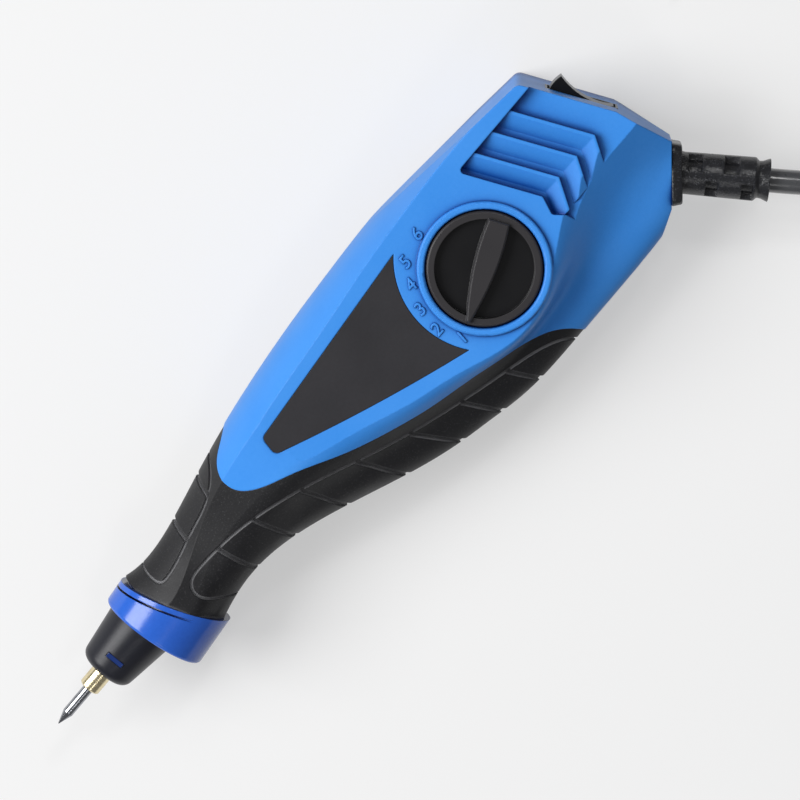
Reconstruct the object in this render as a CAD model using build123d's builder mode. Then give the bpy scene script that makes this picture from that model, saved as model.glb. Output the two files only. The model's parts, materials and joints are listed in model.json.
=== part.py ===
"""Electric engraving pen: an electromagnet in a two-part housing drives a hardened tip along the nose.

Frame: millimetres. Origin on the flat back, under the axis of the stroke dial. +X runs to the tail,
+Y is the finger side, -Y the belly that lies in the palm, +Z comes out of the dial face.
"""
from build123d import *
import math
import os

os.makedirs("parts", exist_ok=True)

# Housing
BODY_DEPTH = 36.0
MID_Z = BODY_DEPTH/2
WALL = 3.2
RUBBER_THICKNESS = 1.6
RUBBER_SUNK = 0.2
SECTION_PITCH = 14.0
FIRST_SECTION_X = -112.0
SECTION_COUNT = 13
FACE_SPARE = 0.4
RUNNING_CLEARANCE = 0.05
TRIM_CLEARANCE = 0.1

# Nose line: everything that strikes lies on it
NOSE_Y = 5.8
TIP_X = -150.0
TIP_RADIUS = 1.3
TIP_CONE = 3.6
CHUCK_FRONT_X = -138.6
CHUCK_REAR_X = -127.5
CHUCK_RADIUS = 2.6
TIP_GRIPPED = 7.0
PLUNGER_RADIUS = 2.5
SPIGOT_RADIUS = 1.5
SPIGOT_LENGTH = 3.5
THREAD_RADIUS = 2.0
CHUCK_SCREW_RADIUS = 1.0
CHUCK_SCREW_X = -136.2
STROKE = 1.2

# Collar and nosecone
COLLAR_Y = 2.8
COLLAR_HALF_WIDTH = 13.2
COLLAR_HALF_DEPTH = 12.0
COLLAR_FRONT_X = -118.3
COLLAR_FRONT_TILT = 5.4
COLLAR_REAR_X = -108.4
COLLAR_REAR_TILT = 20.0
COLLAR_WALL = 1.8
COLLAR_GROOVE = 0.5
COLLAR_GROOVE_FROM_REAR = 1.2
SLEEVE_RADIUS = 6.2
SLEEVE_LENGTH = 10.6
SPIGOT_WALL = 2.5
CONE_SMALL_RADIUS = 7.35
CONE_BIG_RADIUS = 8.8
CONE_FRONT_X = -133.2
CONE_NOSE_ROUND = 2.6
CONE_WALL = 1.6
CONE_HOLE_GAP = 0.5
WINDOW_LENGTH = 4.7
WINDOW_WIDTH = 1.3
WINDOW_X = -127.9

# Bushes, spring and armature
NOSE_BUSH_RADIUS = 4.5
NOSE_BUSH_FLANGE = 6.0
NOSE_BUSH_FLANGE_THICKNESS = 1.5
GUIDE_BUSH_RADIUS = 6.0
GUIDE_BUSH_FLANGE = 7.4
GUIDE_BUSH_FLANGE_THICKNESS = 1.5
GUIDE_RIB_X = -82.0
GUIDE_RIB_THICKNESS = 5.0
CLIP_X = -105.0
CLIP_RADIUS = 4.9
CLIP_THICKNESS = 1.0
SPRING_RADIUS = 3.9
SPRING_WIRE = 0.4
SPRING_TURNS = 7
SPRING_END_GAP = 0.15
ARMATURE_FRONT_X = -58.0
ARMATURE_THICKNESS = 6.0
ARMATURE_HALF_WIDTH = 13.0
ARMATURE_CORNER = 1.5
NUT_FLATS = 7.0
NUT_THICKNESS = 3.0

# Electromagnet
AIR_GAP = 2.0
CORE_LENGTH = 32.0
CORE_HEIGHT = 14.0
CORE_LEG = 8.0
CORE_OUTER_LEG = 4.5
CORE_WINDOW = 5.5
CORE_YOKE = 6.0
BOBBIN_WALL = 0.8
BOBBIN_FLANGE = 1.0
BOBBIN_END_GAP = 1.0
WINDING_THICKNESS = 3.6
FLANGE_OVER_WINDING = 0.2
PAD_THICKNESS = 1.5
PAD_WIDTH = 3.4
CORE_RIB = 4.0

# Stroke dial
DIAL_RADIUS = 13.4
DIAL_GAP = 0.3
DIAL_RIM_TOP = 1.0
DIAL_RIM_WIDTH = 1.9
DIAL_DISH_DEPTH = 2.0
DIAL_BAR_TOP = 1.2
DIAL_BAR_WIDTH = 5.8
DIAL_POINTER_ANGLE = -157.0
DIAL_WELL_DEPTH = 3.2
DIAL_WELL_FLOOR = 1.8
DIAL_BEZEL_WIDTH = 1.9
DIAL_BEZEL_HEIGHT = 1.1
DIAL_SWEEP = 98.0
STEM_RADIUS = 4.0
STEM_FLAT = 3.0
WASHER_THICKNESS = 0.3
WASHER_RADIUS = 7.0
CAM_RADIUS = 9.6
CAM_THICKNESS = 3.0
CAM_TRACK_RADIUS = 7.2
CAM_RISE = 1.4
CAM_TRACK_WIDTH = 2.2
CAM_TRACK_DEPTH = 2.2
DIAL_SCREW_HEAD = 2.8
DIAL_SCREW_HEAD_HEIGHT = 2.0
DIAL_SCREW_RADIUS = 1.25
DIAL_SCREW_LENGTH = 7.0

# Stroke stop that the dial's cam moves
STOP_THICKNESS = 1.5
STOP_WIDTH = 2.6
STOP_OVER_CORE = 0.3
STOP_GAP = 1.5
STOP_ARM_WIDTH = 5.0
PEG_RADIUS = 1.0

# Tail, switch and cord outlet, in plan
TAIL_FINGER = (37.0, 21.5)
TAIL_BEND = (46.6, 0.0)
TAIL_CORNER = (49.2, -14.6)
CORD_CORNER = (37.0, -25.2)
BELLY_CORNER = (25.0, -30.2)
TAIL_ROUND = 3.2
LOUVRE_DEPTH = 2.4
LOUVRE_LEFT_Y = 19.0
LOUVRE_FRONT_X = 12.9
LOUVRE_OPEN_X = 70.0
LOUVRE_OPEN_Y = -16.0
LOUVRE_KNEE_Y = 0.5
LOUVRE_HEEL_BACK = 3.3
LOUVRE_HEEL_DROP = 5.3
LOUVRE_FIRST_RIB = 5.8
LOUVRE_RIB_PITCH = 6.3
LOUVRE_RIDGE_WIDTH = 0.8
LOUVRE_FOOT_WIDTH = 6.6
LOUVRE_RIB_HEIGHT = 1.8
LOUVRE_RIB_OVERRUN = 0.25
LOUVRE_RIBS = 3
SWITCH_CENTRE_FROM_FINGER = 15.4
SWITCH_HALF_LENGTH = 8.7
SWITCH_HALF_HEIGHT = 5.4
SWITCH_DEPTH = 11.5
SWITCH_WALL = 0.5
SWITCH_SIDE_WALL = 1.1
SWITCH_FLOOR = 2.0
ROCKER_END_RADIUS = 7.9
ROCKER_PIVOT_DEPTH = 1.8
ROCKER_HALF_THROW = 14.0
ROCKER_TOP_ANGLE = 62.0
ROCKER_DIP = 0.4
ROCKER_FOOT = 3.0
ROCKER_DEPTH = 3.8
ROCKER_SIDE_GAP = 0.3
ROCKER_PIN_RADIUS = 1.0
ROCKER_PIN_LENGTH = 0.8
TERMINAL_WIDTH = 4.8
TERMINAL_THICKNESS = 0.8
TERMINAL_LENGTH = 5.0
TERMINAL_SPACING = 8.0

# Cord: the route's first point is the mouth of the strain relief, the last one meets the coil
CORD_DIAMETER = 5.7
CORD_ROUTE = [
    (56.4, -38.4, 18.0),
    (65.9, -51.9, 18.0),
    (76.5, -65.0, 9.0),
    (92.0, -71.3, 2.95),
    (115.0, -69.8, 2.95),
    (144.0, -69.8, 2.95),
]
CORD_BEND_SHARE = 0.45
RELIEF_FLANGE_WIDTH = 14.8
RELIEF_FLANGE_HEIGHT = 13.0
RELIEF_FLANGE_THICKNESS = 2.5
RELIEF_NECK_RADIUS = 4.0
RELIEF_INNER_FLANGE_RADIUS = 5.0
RELIEF_INNER_FLANGE_THICKNESS = 2.0
BOOT_RADIUS = 5.1
BOOT_CORE_RADIUS = 3.5
BOOT_WAIST_RADIUS = 3.9
BOOT_END_RING = 1.5
BOOT_WAIST = 1.6
BOOT_FIRST_SLOT = 1.3
BOOT_SLOT = 3.2
BOOT_SLOT_PITCH = 8.6
BOOT_SLOT_WEB = 1.0
COIL_OUTER_RADIUS = 42.0
COIL_LAYER_PITCH = 6.3
COIL_TURN_PITCH = 6.3
COIL_HALF_TURNS_IN = 6
COIL_HALF_TURNS_OUT = 6
COIL_START_RUN = 5.7
COIL_END_RUN = 12.0
INNER_CORD_LENGTH = 11.0
CLAMP_WIDTH = 4.4
CLAMP_THICKNESS = 1.6
CLAMP_SCREW_OFFSET = 5.7
CLAMP_FROM_FLANGE = 7.0
CLAMP_SCREW_RADIUS = 0.9
CLAMP_SCREW_HEAD = 1.6
CLAMP_SCREW_HEAD_HEIGHT = 1.0
CLAMP_SCREW_DEPTH = 6.0
LEAD_RADIUS = 0.8
LEAD_OFFSET = 1.4
LEAD_BEND = 2.5
LEAD_UNDER_CORE = 2.2
LEAD_BESIDE_NOSE_LINE = 2.0

# Plug
PLUG_LENGTH = 40.0
PLUG_HALF_WIDTH = 12.0
PLUG_HALF_HEIGHT = 9.0
PLUG_NECK_RADIUS = 3.3
PLUG_NECK_FLARE = 1.5
PLUG_NECK_LENGTH = 18.0
PLUG_RIM = 8.0
PLUG_SHOULDER_SHARE = 0.7
PLUG_SHOULDER_ROUND = 4.0
PLUG_ROUND = 5.0
BLADE_SPACING = 12.7
BLADE_LENGTH = 17.5
BLADE_WIDTH = 6.3
BLADE_THICKNESS = 1.5

# Housing screws, in plan
HOUSING_SCREWS = [(-70.0, 12.4), (-68.0, -1.0), (6.0, 18.6), (-11.0, -9.8), (25.0, 16.6), (20.0, -9.0)]
SCREW_RADIUS = 1.2
SCREW_HEAD_RADIUS = 2.4
SCREW_HEAD_HEIGHT = 1.8
SCREW_HEAD_Z = 8.0
SCREW_LENGTH = 16.0
SCREW_HOLE_GAP = 0.25
SCREW_SLOT = 0.6
SCREW_SLOT_DEPTH = 0.7
BOSS_RADIUS = 3.4

# Label plate
PLATE_CORNERS = [(-10.8, 18.1), (-63.2, 13.8), (-64.2, 9.0), (-16.6, -9.5)]
PLATE_BELLY_MIDDLE = (-39.5, -1.4)
PLATE_DIAL_GAP_RADIUS = 19.6
PLATE_THICKNESS = 0.8
PLATE_PROUD = 0.1
PLATE_ROUND = 1.6
PLATE_TIP_ROUND = 1.0


def guide(*points):
    """A smooth line through (x, value) points that never swings past them."""
    steps = [b[0] - a[0] for a, b in zip(points, points[1:])]
    slopes = [(b[1] - a[1])/step for a, b, step in zip(points, points[1:], steps)]
    tangents = [slopes[0]]
    for before, after in zip(slopes, slopes[1:]):
        tangents.append(0 if before*after <= 0 else 2*before*after/(before + after))
    tangents.append(slopes[-1])

    def value(x):
        i = max(0, min(len(steps) - 1, sum(x > p[0] for p in points) - 1))
        t = (x - points[i][0])/steps[i]
        start = (2*t**3 - 3*t**2 + 1)*points[i][1] + (t**3 - 2*t**2 + t)*steps[i]*tangents[i]
        end = (3*t**2 - 2*t**3)*points[i + 1][1] + (t**3 - t**2)*steps[i]*tangents[i + 1]
        return start + end
    return value


# The lines that the housing's cross-sections follow from nose to tail
TOP = MID_Z + FACE_SPARE
finger_line = guide((-113, 16.6), (-104, 15.2), (-94, 16.8), (-80, 19.6), (-62, 22.8), (-35, 25.4),
                    (-8, 26.5), (20, 24.5), (35, 22.2), (60, 18.2))
belly_line = guide((-113, -9.6), (-104, -8.4), (-94, -6.0), (-80, -7.6), (-62, -14.4), (-35, -24.0),
                   (-8, -28.4), (20, -28.3), (60, -25.8))
crease_line = guide((-113, 6.0), (-104, 6.5), (-94, 9.0), (-80, 14.0), (-62, 16.4), (-35, 19.0),
                    (-8, 21.9), (20, 23.1), (35, 21.8), (60, 17.8))
crease_height = guide((-113, 10.4), (-94, 10.9), (-80, 13.4), (-64, TOP - 0.6), (-50, TOP), (60, TOP))
face_edge = guide((-113, 0.8), (-104, 1.6), (-94, 3.6), (-80, 5.6), (-62, 4.4), (-35, -4.6), (-18, -11.0),
                  (-8, -14.4), (4, -14.4), (14, -8.8), (24, -3.0), (60, 0.0))
face_slope = guide((-113, 0), (0, 0), (22, 30), (60, 32))
face_height = guide((-113, 10.5), (-94, 11.2), (-80, 14.2), (-64, TOP - 0.5), (-50, TOP), (60, TOP))
valley_line = guide((-113, -6.0), (-104, -4.9), (-94, -2.6), (-80, -3.8), (-62, -9.2), (-35, -17.2),
                    (-8, -21.0), (20, -20.4), (60, -19.0))
valley_height = guide((-113, 8.6), (-104, 8.2), (-94, 8.4), (-80, 9.6), (-62, 9.4), (-35, 7.6), (-8, 6.6),
                      (20, 6.4), (60, 6.4))
valley_slope = guide((-113, 42), (-94, 43), (-80, 38), (-62, 30), (-35, 24), (-8, 18), (20, 16), (60, 16))

# Edge of the rubber, in plan, from the finger side round the blue tongue to the belly
RUBBER_EDGE = [(-66.0, 26.0), (-70.0, 21.0), (-76.6, 16.4), (-77.4, 12.2), (-65.4, 3.2), (-54.4, -2.9),
               (-41.6, -8.6), (-32.4, -11.8), (-25.8, -13.5), (-14.2, -16.8), (-6.8, -19.8), (-2.3, -22.2),
               (0.6, -25.0), (3.2, -32.0)]

# Tread of the grip, in plan: a line round each zone of pads, and slanted channels between its pads
TREAD_DEPTH = 0.5
TREAD_LINE_WIDTH = 0.7
TREAD_CHANNEL_WIDTH = 1.3
BELLY_TREAD = [(-97.2, -12.0), (-98.8, -4.9), (-102.3, -0.1), (-102.6, 1.8), (-101.4, 4.0), (-97.0, 4.9),
               (-80.0, 3.0), (-62.9, -2.7), (-48.0, -9.4), (-33.8, -14.8), (-16.7, -20.0), (-6.6, -23.2),
               (-2.2, -25.8), (0.4, -31.0)]
FINGER_TREAD = [(-105.6, 21.0), (-107.1, 14.9), (-107.2, 11.9), (-106.4, 9.6), (-103.6, 9.2), (-94.0, 11.3),
                (-83.9, 13.9), (-79.0, 16.9), (-76.4, 20.5), (-75.4, 25.0)]
TREAD_CHANNELS = [((-16.2, -20.3), (-11.4, -31.0)), ((-28.5, -16.8), (-23.0, -29.0)),
                  ((-41.6, -12.3), (-34.5, -26.0)), ((-54.2, -6.8), (-49.4, -21.0)),
                  ((-67.3, -1.2), (-63.8, -16.0)), ((-80.0, 3.0), (-77.2, -12.0)), ((-91.0, 4.6), (-89.0, -10.0)),
                  ((-83.0, 14.2), (-81.4, 24.0)), ((-94.6, 11.2), (-93.4, 22.0))]


def bulged(start, start_dir, end, end_dir, share=0.38):
    """A curve that leaves one point and reaches the next in the given directions."""
    reach = share*math.dist(start, end)
    near = (start[0] + reach*start_dir[0], start[1] + reach*start_dir[1])
    far = (end[0] - reach*end_dir[0], end[1] - reach*end_dir[1])
    return Bezier(start, near, far, end)


def housing_form(inset):
    """The housing's outer form, with every wall moved in by inset."""
    with BuildPart() as form:
        for i in range(SECTION_COUNT):
            x = FIRST_SECTION_X + SECTION_PITCH*i
            slope = math.radians(valley_slope(x))
            valley_dir = (math.cos(slope), math.sin(slope))
            belly = (belly_line(x) + inset, 0)
            valley = (valley_line(x) + 1.2*inset*math.sin(slope), valley_height(x) - inset*math.cos(slope))
            edge = (face_edge(x) + 0.35*inset, face_height(x) - inset)
            edge_fall = math.radians(face_slope(x))
            crease = (crease_line(x) - 0.75*inset, crease_height(x) - inset)
            finger = (finger_line(x) - inset, 0)
            fall = math.atan2(1.9*(finger[0] - crease[0]), crease[1])
            with BuildSketch(Plane(origin=(x, 0, MID_Z), x_dir=(0, 1, 0), z_dir=(1, 0, 0))):
                with BuildLine() as upper:
                    bulged(belly, (0, 1), valley, valley_dir)
                    bulged(valley, valley_dir, edge, (math.cos(edge_fall), math.sin(edge_fall)))
                    Line(edge, crease)
                    bulged(crease, (math.sin(fall), -math.cos(fall)), finger, (0, -1))
                    mirror(about=Plane.XZ)
                make_face()
        loft()
    return form.part


def plan_block(inset):
    """The block that cuts the form to its faces and its tail, with every wall moved in by inset."""
    with BuildPart() as block:
        with BuildSketch(Plane.XY.offset(inset)):
            with BuildLine():
                Polyline((-140, 40), TAIL_FINGER, TAIL_BEND, TAIL_CORNER, CORD_CORNER, BELLY_CORNER,
                         (-10, -60), (-140, -60), close=True)
            outline = make_face()
            corners = outline.vertices()
            fillet([v for v in corners if v.X > 30 and v.Y > 10], radius=2)
            tail_round = [v for v in corners if v.X > TAIL_CORNER[0] - 1]
            fillet(tail_round, radius=TAIL_ROUND)
            if inset:
                offset(amount=-inset, mode=Mode.REPLACE)
        extrude(amount=BODY_DEPTH - 2*inset)
    return block.part


def unit(x, y):
    """A level direction of length one."""
    length = math.hypot(x, y)
    return (x/length, y/length, 0)


def nose_plane(x):
    """A plane across the nose line, with local x along +Y."""
    return Plane(origin=(x, NOSE_Y, MID_Z), x_dir=(0, 1, 0), z_dir=(1, 0, 0))


def nose_bar(x_from, x_to, radius, mode=Mode.ADD):
    """A round bar, or with SUBTRACT a bore, on the nose line."""
    with BuildSketch(nose_plane(x_from)) as disc:
        Circle(radius)
    extrude(disc.sketch, amount=x_to - x_from, mode=mode)


def upright(x, y, z_from, z_to, radius, mode=Mode.ADD):
    """A round post or hole along Z."""
    with BuildSketch(Plane.XY.offset(z_from)) as disc:
        with Locations((x, y)):
            Circle(radius)
    extrude(disc.sketch, amount=z_to - z_from, mode=mode)


def uprights(places, z_from, z_to, radius, mode=Mode.ADD):
    """Round posts or holes along Z at these places in plan."""
    with BuildSketch(Plane.XY.offset(z_from)) as discs:
        with Locations(*places):
            Circle(radius)
    extrude(discs.sketch, amount=z_to - z_from, mode=mode)


def block(x_from, x_to, y_from, y_to, z_from, z_to, mode=Mode.ADD):
    """A plain block between named faces."""
    with BuildSketch(Plane.XY.offset(z_from)) as base:
        with Locations(((x_from + x_to)/2, (y_from + y_to)/2)):
            Rectangle(x_to - x_from, y_to - y_from)
    extrude(base.sketch, amount=z_to - z_from, mode=mode)


# Planes of the collar: its axis leans with its front face, and its rear face is cut at a slant
front_lean = math.radians(COLLAR_FRONT_TILT)
rear_lean = math.radians(COLLAR_REAR_TILT)
COLLAR_FRONT = Plane(origin=(COLLAR_FRONT_X, COLLAR_Y, MID_Z),
                     x_dir=(-math.sin(front_lean), math.cos(front_lean), 0),
                     z_dir=(math.cos(front_lean), math.sin(front_lean), 0))
COLLAR_REAR = Plane(origin=(COLLAR_REAR_X, COLLAR_Y, MID_Z),
                    x_dir=(-math.sin(rear_lean), math.cos(rear_lean), 0),
                    z_dir=(math.cos(rear_lean), math.sin(rear_lean), 0))
COLLAR_REACH = 24.0

PARTING = Plane.XY.offset(MID_Z)

# Planes of the tail: the switch sits in the end face, the cord leaves through the slanted corner
end_run = unit(TAIL_BEND[0] - TAIL_FINGER[0], TAIL_BEND[1] - TAIL_FINGER[1])
switch_x = TAIL_FINGER[0] + SWITCH_CENTRE_FROM_FINGER*end_run[0]
switch_y = TAIL_FINGER[1] + SWITCH_CENTRE_FROM_FINGER*end_run[1]
SWITCH_PLAN = Plane(origin=(switch_x, switch_y, MID_Z), x_dir=end_run, z_dir=(0, 0, 1))
corner_run = unit(TAIL_CORNER[0] - CORD_CORNER[0], TAIL_CORNER[1] - CORD_CORNER[1])
outlet_x = (TAIL_CORNER[0] + CORD_CORNER[0])/2
outlet_y = (TAIL_CORNER[1] + CORD_CORNER[1])/2
OUTLET = Plane(origin=(outlet_x, outlet_y, MID_Z), x_dir=corner_run,
               z_dir=(corner_run[1], -corner_run[0], 0))
mouth = Vector(*CORD_ROUTE[0])

# Places along the nose line
ARMATURE_REAR_X = ARMATURE_FRONT_X + ARMATURE_THICKNESS
CORE_FRONT_X = ARMATURE_REAR_X + AIR_GAP
CORE_REAR_X = CORE_FRONT_X + CORE_LENGTH
CORE_HALF_WIDTH = CORE_LEG/2 + CORE_WINDOW + CORE_OUTER_LEG
CORE_TOP = MID_Z + CORE_HEIGHT/2
CORE_BOTTOM = MID_Z - CORE_HEIGHT/2
WINDOW_INNER = CORE_LEG/2 + CORE_WINDOW
PAD_BELLY_Y = NOSE_Y - WINDOW_INNER - PAD_WIDTH
PAD_FINGER_Y = NOSE_Y + WINDOW_INNER
STOP_BOTTOM = CORE_TOP + STOP_OVER_CORE
STOP_TOP = STOP_BOTTOM + STOP_THICKNESS
COLLAR_FACE_X = COLLAR_FRONT_X + COLLAR_WALL
GUIDE_FRONT_X = GUIDE_RIB_X - GUIDE_RIB_THICKNESS/2
GUIDE_REAR_X = GUIDE_RIB_X + GUIDE_RIB_THICKNESS/2
NUT_FRONT_X = ARMATURE_FRONT_X - NUT_THICKNESS
BOBBIN_SPREAD = BOBBIN_WALL + WINDING_THICKNESS + FLANGE_OVER_WINDING
STOP_INNER_Y = NOSE_Y + CORE_LEG/2 + BOBBIN_SPREAD + DIAL_GAP

# Heights in the dial
WELL_FLOOR_Z = BODY_DEPTH - DIAL_WELL_DEPTH
WELL_UNDER_Z = WELL_FLOOR_Z - DIAL_WELL_FLOOR
KNOB_UNDER_Z = WELL_FLOOR_Z + WASHER_THICKNESS
CAM_TOP_Z = WELL_UNDER_Z - DIAL_GAP
CAM_UNDER_Z = CAM_TOP_Z - CAM_THICKNESS
SCREW_SEAT_Z = SCREW_HEAD_Z + SCREW_HEAD_HEIGHT
SCREW_TOP_Z = SCREW_SEAT_Z + SCREW_LENGTH

# The clamp that holds the cord inside, across the outlet
clamp_centre = OUTLET.from_local_coords((0, 0, -WALL - RELIEF_INNER_FLANGE_THICKNESS - CLAMP_FROM_FLANGE))
CLAMP_PLANE = Plane(origin=clamp_centre, x_dir=corner_run, z_dir=(0, 0, 1))
clamp_ends = [CLAMP_PLANE.from_local_coords((side*CLAMP_SCREW_OFFSET, 0, 0)) for side in (-1, 1)]
clamp_screws_at = [(end.X, end.Y) for end in clamp_ends]
CORD_TOP_Z = MID_Z + CORD_DIAMETER/2
POST_RADIUS = CLAMP_WIDTH/2
CLAMP_TOP_Z = CORD_TOP_Z + CLAMP_THICKNESS
CLAMP_HEAD_TOP_Z = CLAMP_TOP_Z + CLAMP_SCREW_HEAD_HEIGHT

# Shared solids of the housing
outer_form = housing_form(0) & plan_block(0)
inner_form = housing_form(WALL) & plan_block(WALL)
rubber_seat = housing_form(RUBBER_THICKNESS)
rubber_skin = housing_form(RUBBER_SUNK)

with BuildPart() as rubber_zone:
    with BuildSketch():
        with BuildLine():
            Spline(RUBBER_EDGE[0], *RUBBER_EDGE[1:])
            Polyline(RUBBER_EDGE[-1], (-130.0, -60.0), (-130.0, 60.0), RUBBER_EDGE[0])
        make_face()
    extrude(amount=BODY_DEPTH)

with BuildPart() as tread_cuts:
    with BuildSketch():
        with BuildLine():
            Spline(*BELLY_TREAD)
            Spline(*FINGER_TREAD)
        trace(line_width=TREAD_LINE_WIDTH)
        with BuildLine():
            for start, end in TREAD_CHANNELS:
                Line(start, end)
        trace(line_width=TREAD_CHANNEL_WIDTH)
    extrude(amount=BODY_DEPTH)
    add(housing_form(RUBBER_SUNK + TREAD_DEPTH), mode=Mode.SUBTRACT)

with BuildPart() as rubber:
    add(rubber_skin)
    add(rubber_seat, mode=Mode.SUBTRACT)
    add(rubber_zone.part, mode=Mode.INTERSECT)
    add(tread_cuts.part, mode=Mode.SUBTRACT)
    add(plan_block(0), mode=Mode.INTERSECT)
    split(bisect_by=COLLAR_REAR, keep=Keep.TOP)

with BuildPart() as rubber_room:
    add(outer_form)
    add(rubber_seat, mode=Mode.SUBTRACT)
    add(rubber_zone.part, mode=Mode.INTERSECT)

COLLAR_FIT = COLLAR_WALL + RUNNING_CLEARANCE
THROAT_INSET = COLLAR_WALL + SPIGOT_WALL
with BuildPart() as collar_spigot:
    with BuildSketch(COLLAR_FRONT.offset(COLLAR_WALL)):
        Ellipse(COLLAR_HALF_WIDTH - COLLAR_FIT, COLLAR_HALF_DEPTH - COLLAR_FIT)
    extrude(amount=COLLAR_REACH)
    split(bisect_by=COLLAR_REAR, keep=Keep.BOTTOM)

with BuildPart() as guide_rib:
    add(rubber_seat)
    with BuildSketch(nose_plane(GUIDE_FRONT_X)) as slice_across:
        Rectangle(90, 90)
    extrude(slice_across.sketch, amount=GUIDE_RIB_THICKNESS, mode=Mode.INTERSECT)
    nose_bar(GUIDE_FRONT_X - 1, GUIDE_REAR_X + 1, GUIDE_BUSH_RADIUS, mode=Mode.SUBTRACT)

# Upper half of the housing's walls; the lower half is its mirror image
with BuildPart() as hull:
    add(outer_form)
    split(bisect_by=PARTING, keep=Keep.TOP)
    add(rubber_room.part, mode=Mode.SUBTRACT)
    split(bisect_by=COLLAR_REAR, keep=Keep.TOP)
    add(collar_spigot.part)
    add(inner_form, mode=Mode.SUBTRACT)
    with BuildSketch(COLLAR_FRONT.offset(COLLAR_WALL)) as throat:
        Ellipse(COLLAR_HALF_WIDTH - THROAT_INSET, COLLAR_HALF_DEPTH - THROAT_INSET)
    extrude(throat.sketch, amount=COLLAR_REACH, mode=Mode.SUBTRACT)
    add(guide_rib.part)
    split(bisect_by=PARTING, keep=Keep.TOP)

# Opening of the switch and of the cord, cut half from each shell
with BuildPart() as switch_cutout:
    with BuildSketch(SWITCH_PLAN.offset(-SWITCH_HALF_HEIGHT)) as opening:
        with Locations((0, 0)):
            Rectangle(2*SWITCH_HALF_LENGTH, 3*WALL)
    extrude(opening.sketch, amount=2*SWITCH_HALF_HEIGHT)

with BuildPart() as outlet_cutout:
    with BuildSketch(OUTLET.offset(-WALL)) as round_hole:
        Circle(RELIEF_NECK_RADIUS)
    extrude(round_hole.sketch, amount=2*WALL)
    with BuildSketch(OUTLET.offset(-WALL)) as flange_pocket:
        Circle(RELIEF_INNER_FLANGE_RADIUS + TRIM_CLEARANCE)
    extrude(flange_pocket.sketch, amount=-RELIEF_INNER_FLANGE_THICKNESS - TRIM_CLEARANCE)

# Plan of the louvre recess: a straight finger side and a front edge along the tail's slant; open behind
slant = -end_run[0]/end_run[1]
louvre_knee = (LOUVRE_FRONT_X + (LOUVRE_LEFT_Y - LOUVRE_KNEE_Y)*slant, LOUVRE_KNEE_Y)
louvre_heel = (louvre_knee[0] - LOUVRE_HEEL_BACK, louvre_knee[1] - LOUVRE_HEEL_DROP)
LOUVRE_FLOOR_Z = BODY_DEPTH - LOUVRE_DEPTH

with BuildPart() as louvre_recess:
    with BuildSketch(Plane.XY.offset(LOUVRE_FLOOR_Z)):
        with BuildLine():
            Polyline((LOUVRE_FRONT_X, LOUVRE_LEFT_Y), louvre_knee, (louvre_heel[0] + 1.5, louvre_heel[1] + 1.0),
                     (louvre_heel[0] + 3.5, louvre_heel[1] - 1.5), (louvre_heel[0] + 5.0, LOUVRE_OPEN_Y),
                     (LOUVRE_OPEN_X, LOUVRE_OPEN_Y), (LOUVRE_OPEN_X, LOUVRE_LEFT_Y), close=True)
        recess_plan = make_face()
        fillet([v for v in recess_plan.vertices() if v.X < 30 and v.Y > -8], radius=1.0)
    extrude(amount=2*LOUVRE_DEPTH)

# Slats: each rises from a wide foot to a narrow ridge along its tail side
slat_end = (louvre_heel[0] - LOUVRE_RIB_OVERRUN*LOUVRE_HEEL_BACK,
            louvre_heel[1] - LOUVRE_RIB_OVERRUN*LOUVRE_HEEL_DROP)
with BuildPart() as louvre_ribs:
    for i in range(LOUVRE_RIBS):
        back = LOUVRE_FIRST_RIB + LOUVRE_RIB_PITCH*i
        for z, width in ((LOUVRE_FLOOR_Z - WALL/4, LOUVRE_FOOT_WIDTH),
                         (LOUVRE_FLOOR_Z + LOUVRE_RIB_HEIGHT, LOUVRE_RIDGE_WIDTH)):
            with BuildSketch(Plane.XY.offset(z)):
                with BuildLine():
                    Polyline((LOUVRE_FRONT_X + back, LOUVRE_LEFT_Y), (louvre_knee[0] + back, louvre_knee[1]),
                             (slat_end[0] + back, slat_end[1]), (slat_end[0] + back - width, slat_end[1]),
                             (louvre_knee[0] + back - width, louvre_knee[1]),
                             (LOUVRE_FRONT_X + back - width, LOUVRE_LEFT_Y), close=True)
                make_face()
        loft(ruled=True)

# Label plate and its shallow seat: corners, and an arc that keeps clear of the dial's numbers
with BuildSketch() as plate_outline:
    with BuildLine():
        Line(PLATE_CORNERS[0], PLATE_CORNERS[1])
        Line(PLATE_CORNERS[1], PLATE_CORNERS[2])
        ThreePointArc(PLATE_CORNERS[2], PLATE_BELLY_MIDDLE, PLATE_CORNERS[3])
        ThreePointArc(PLATE_CORNERS[3], (-PLATE_DIAL_GAP_RADIUS*0.97, PLATE_DIAL_GAP_RADIUS*0.24),
                      PLATE_CORNERS[0])
    plate_face = make_face()
    tips = [v for v in plate_face.vertices() if v.X > PLATE_BELLY_MIDDLE[0]]
    fillet([v for v in plate_face.vertices() if v.X < PLATE_BELLY_MIDDLE[0]], radius=PLATE_ROUND)
    fillet(tips, radius=PLATE_TIP_ROUND)
plate_under_z = BODY_DEPTH + PLATE_PROUD - PLATE_THICKNESS

with BuildPart() as name_plate:
    with BuildSketch(Plane.XY.offset(plate_under_z)):
        add(plate_outline.sketch)
        offset(amount=-TRIM_CLEARANCE, mode=Mode.REPLACE)
    extrude(amount=PLATE_THICKNESS)
name_plate.part.label = "name_plate"
export_step(name_plate.part, "parts/name_plate.step")

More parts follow.
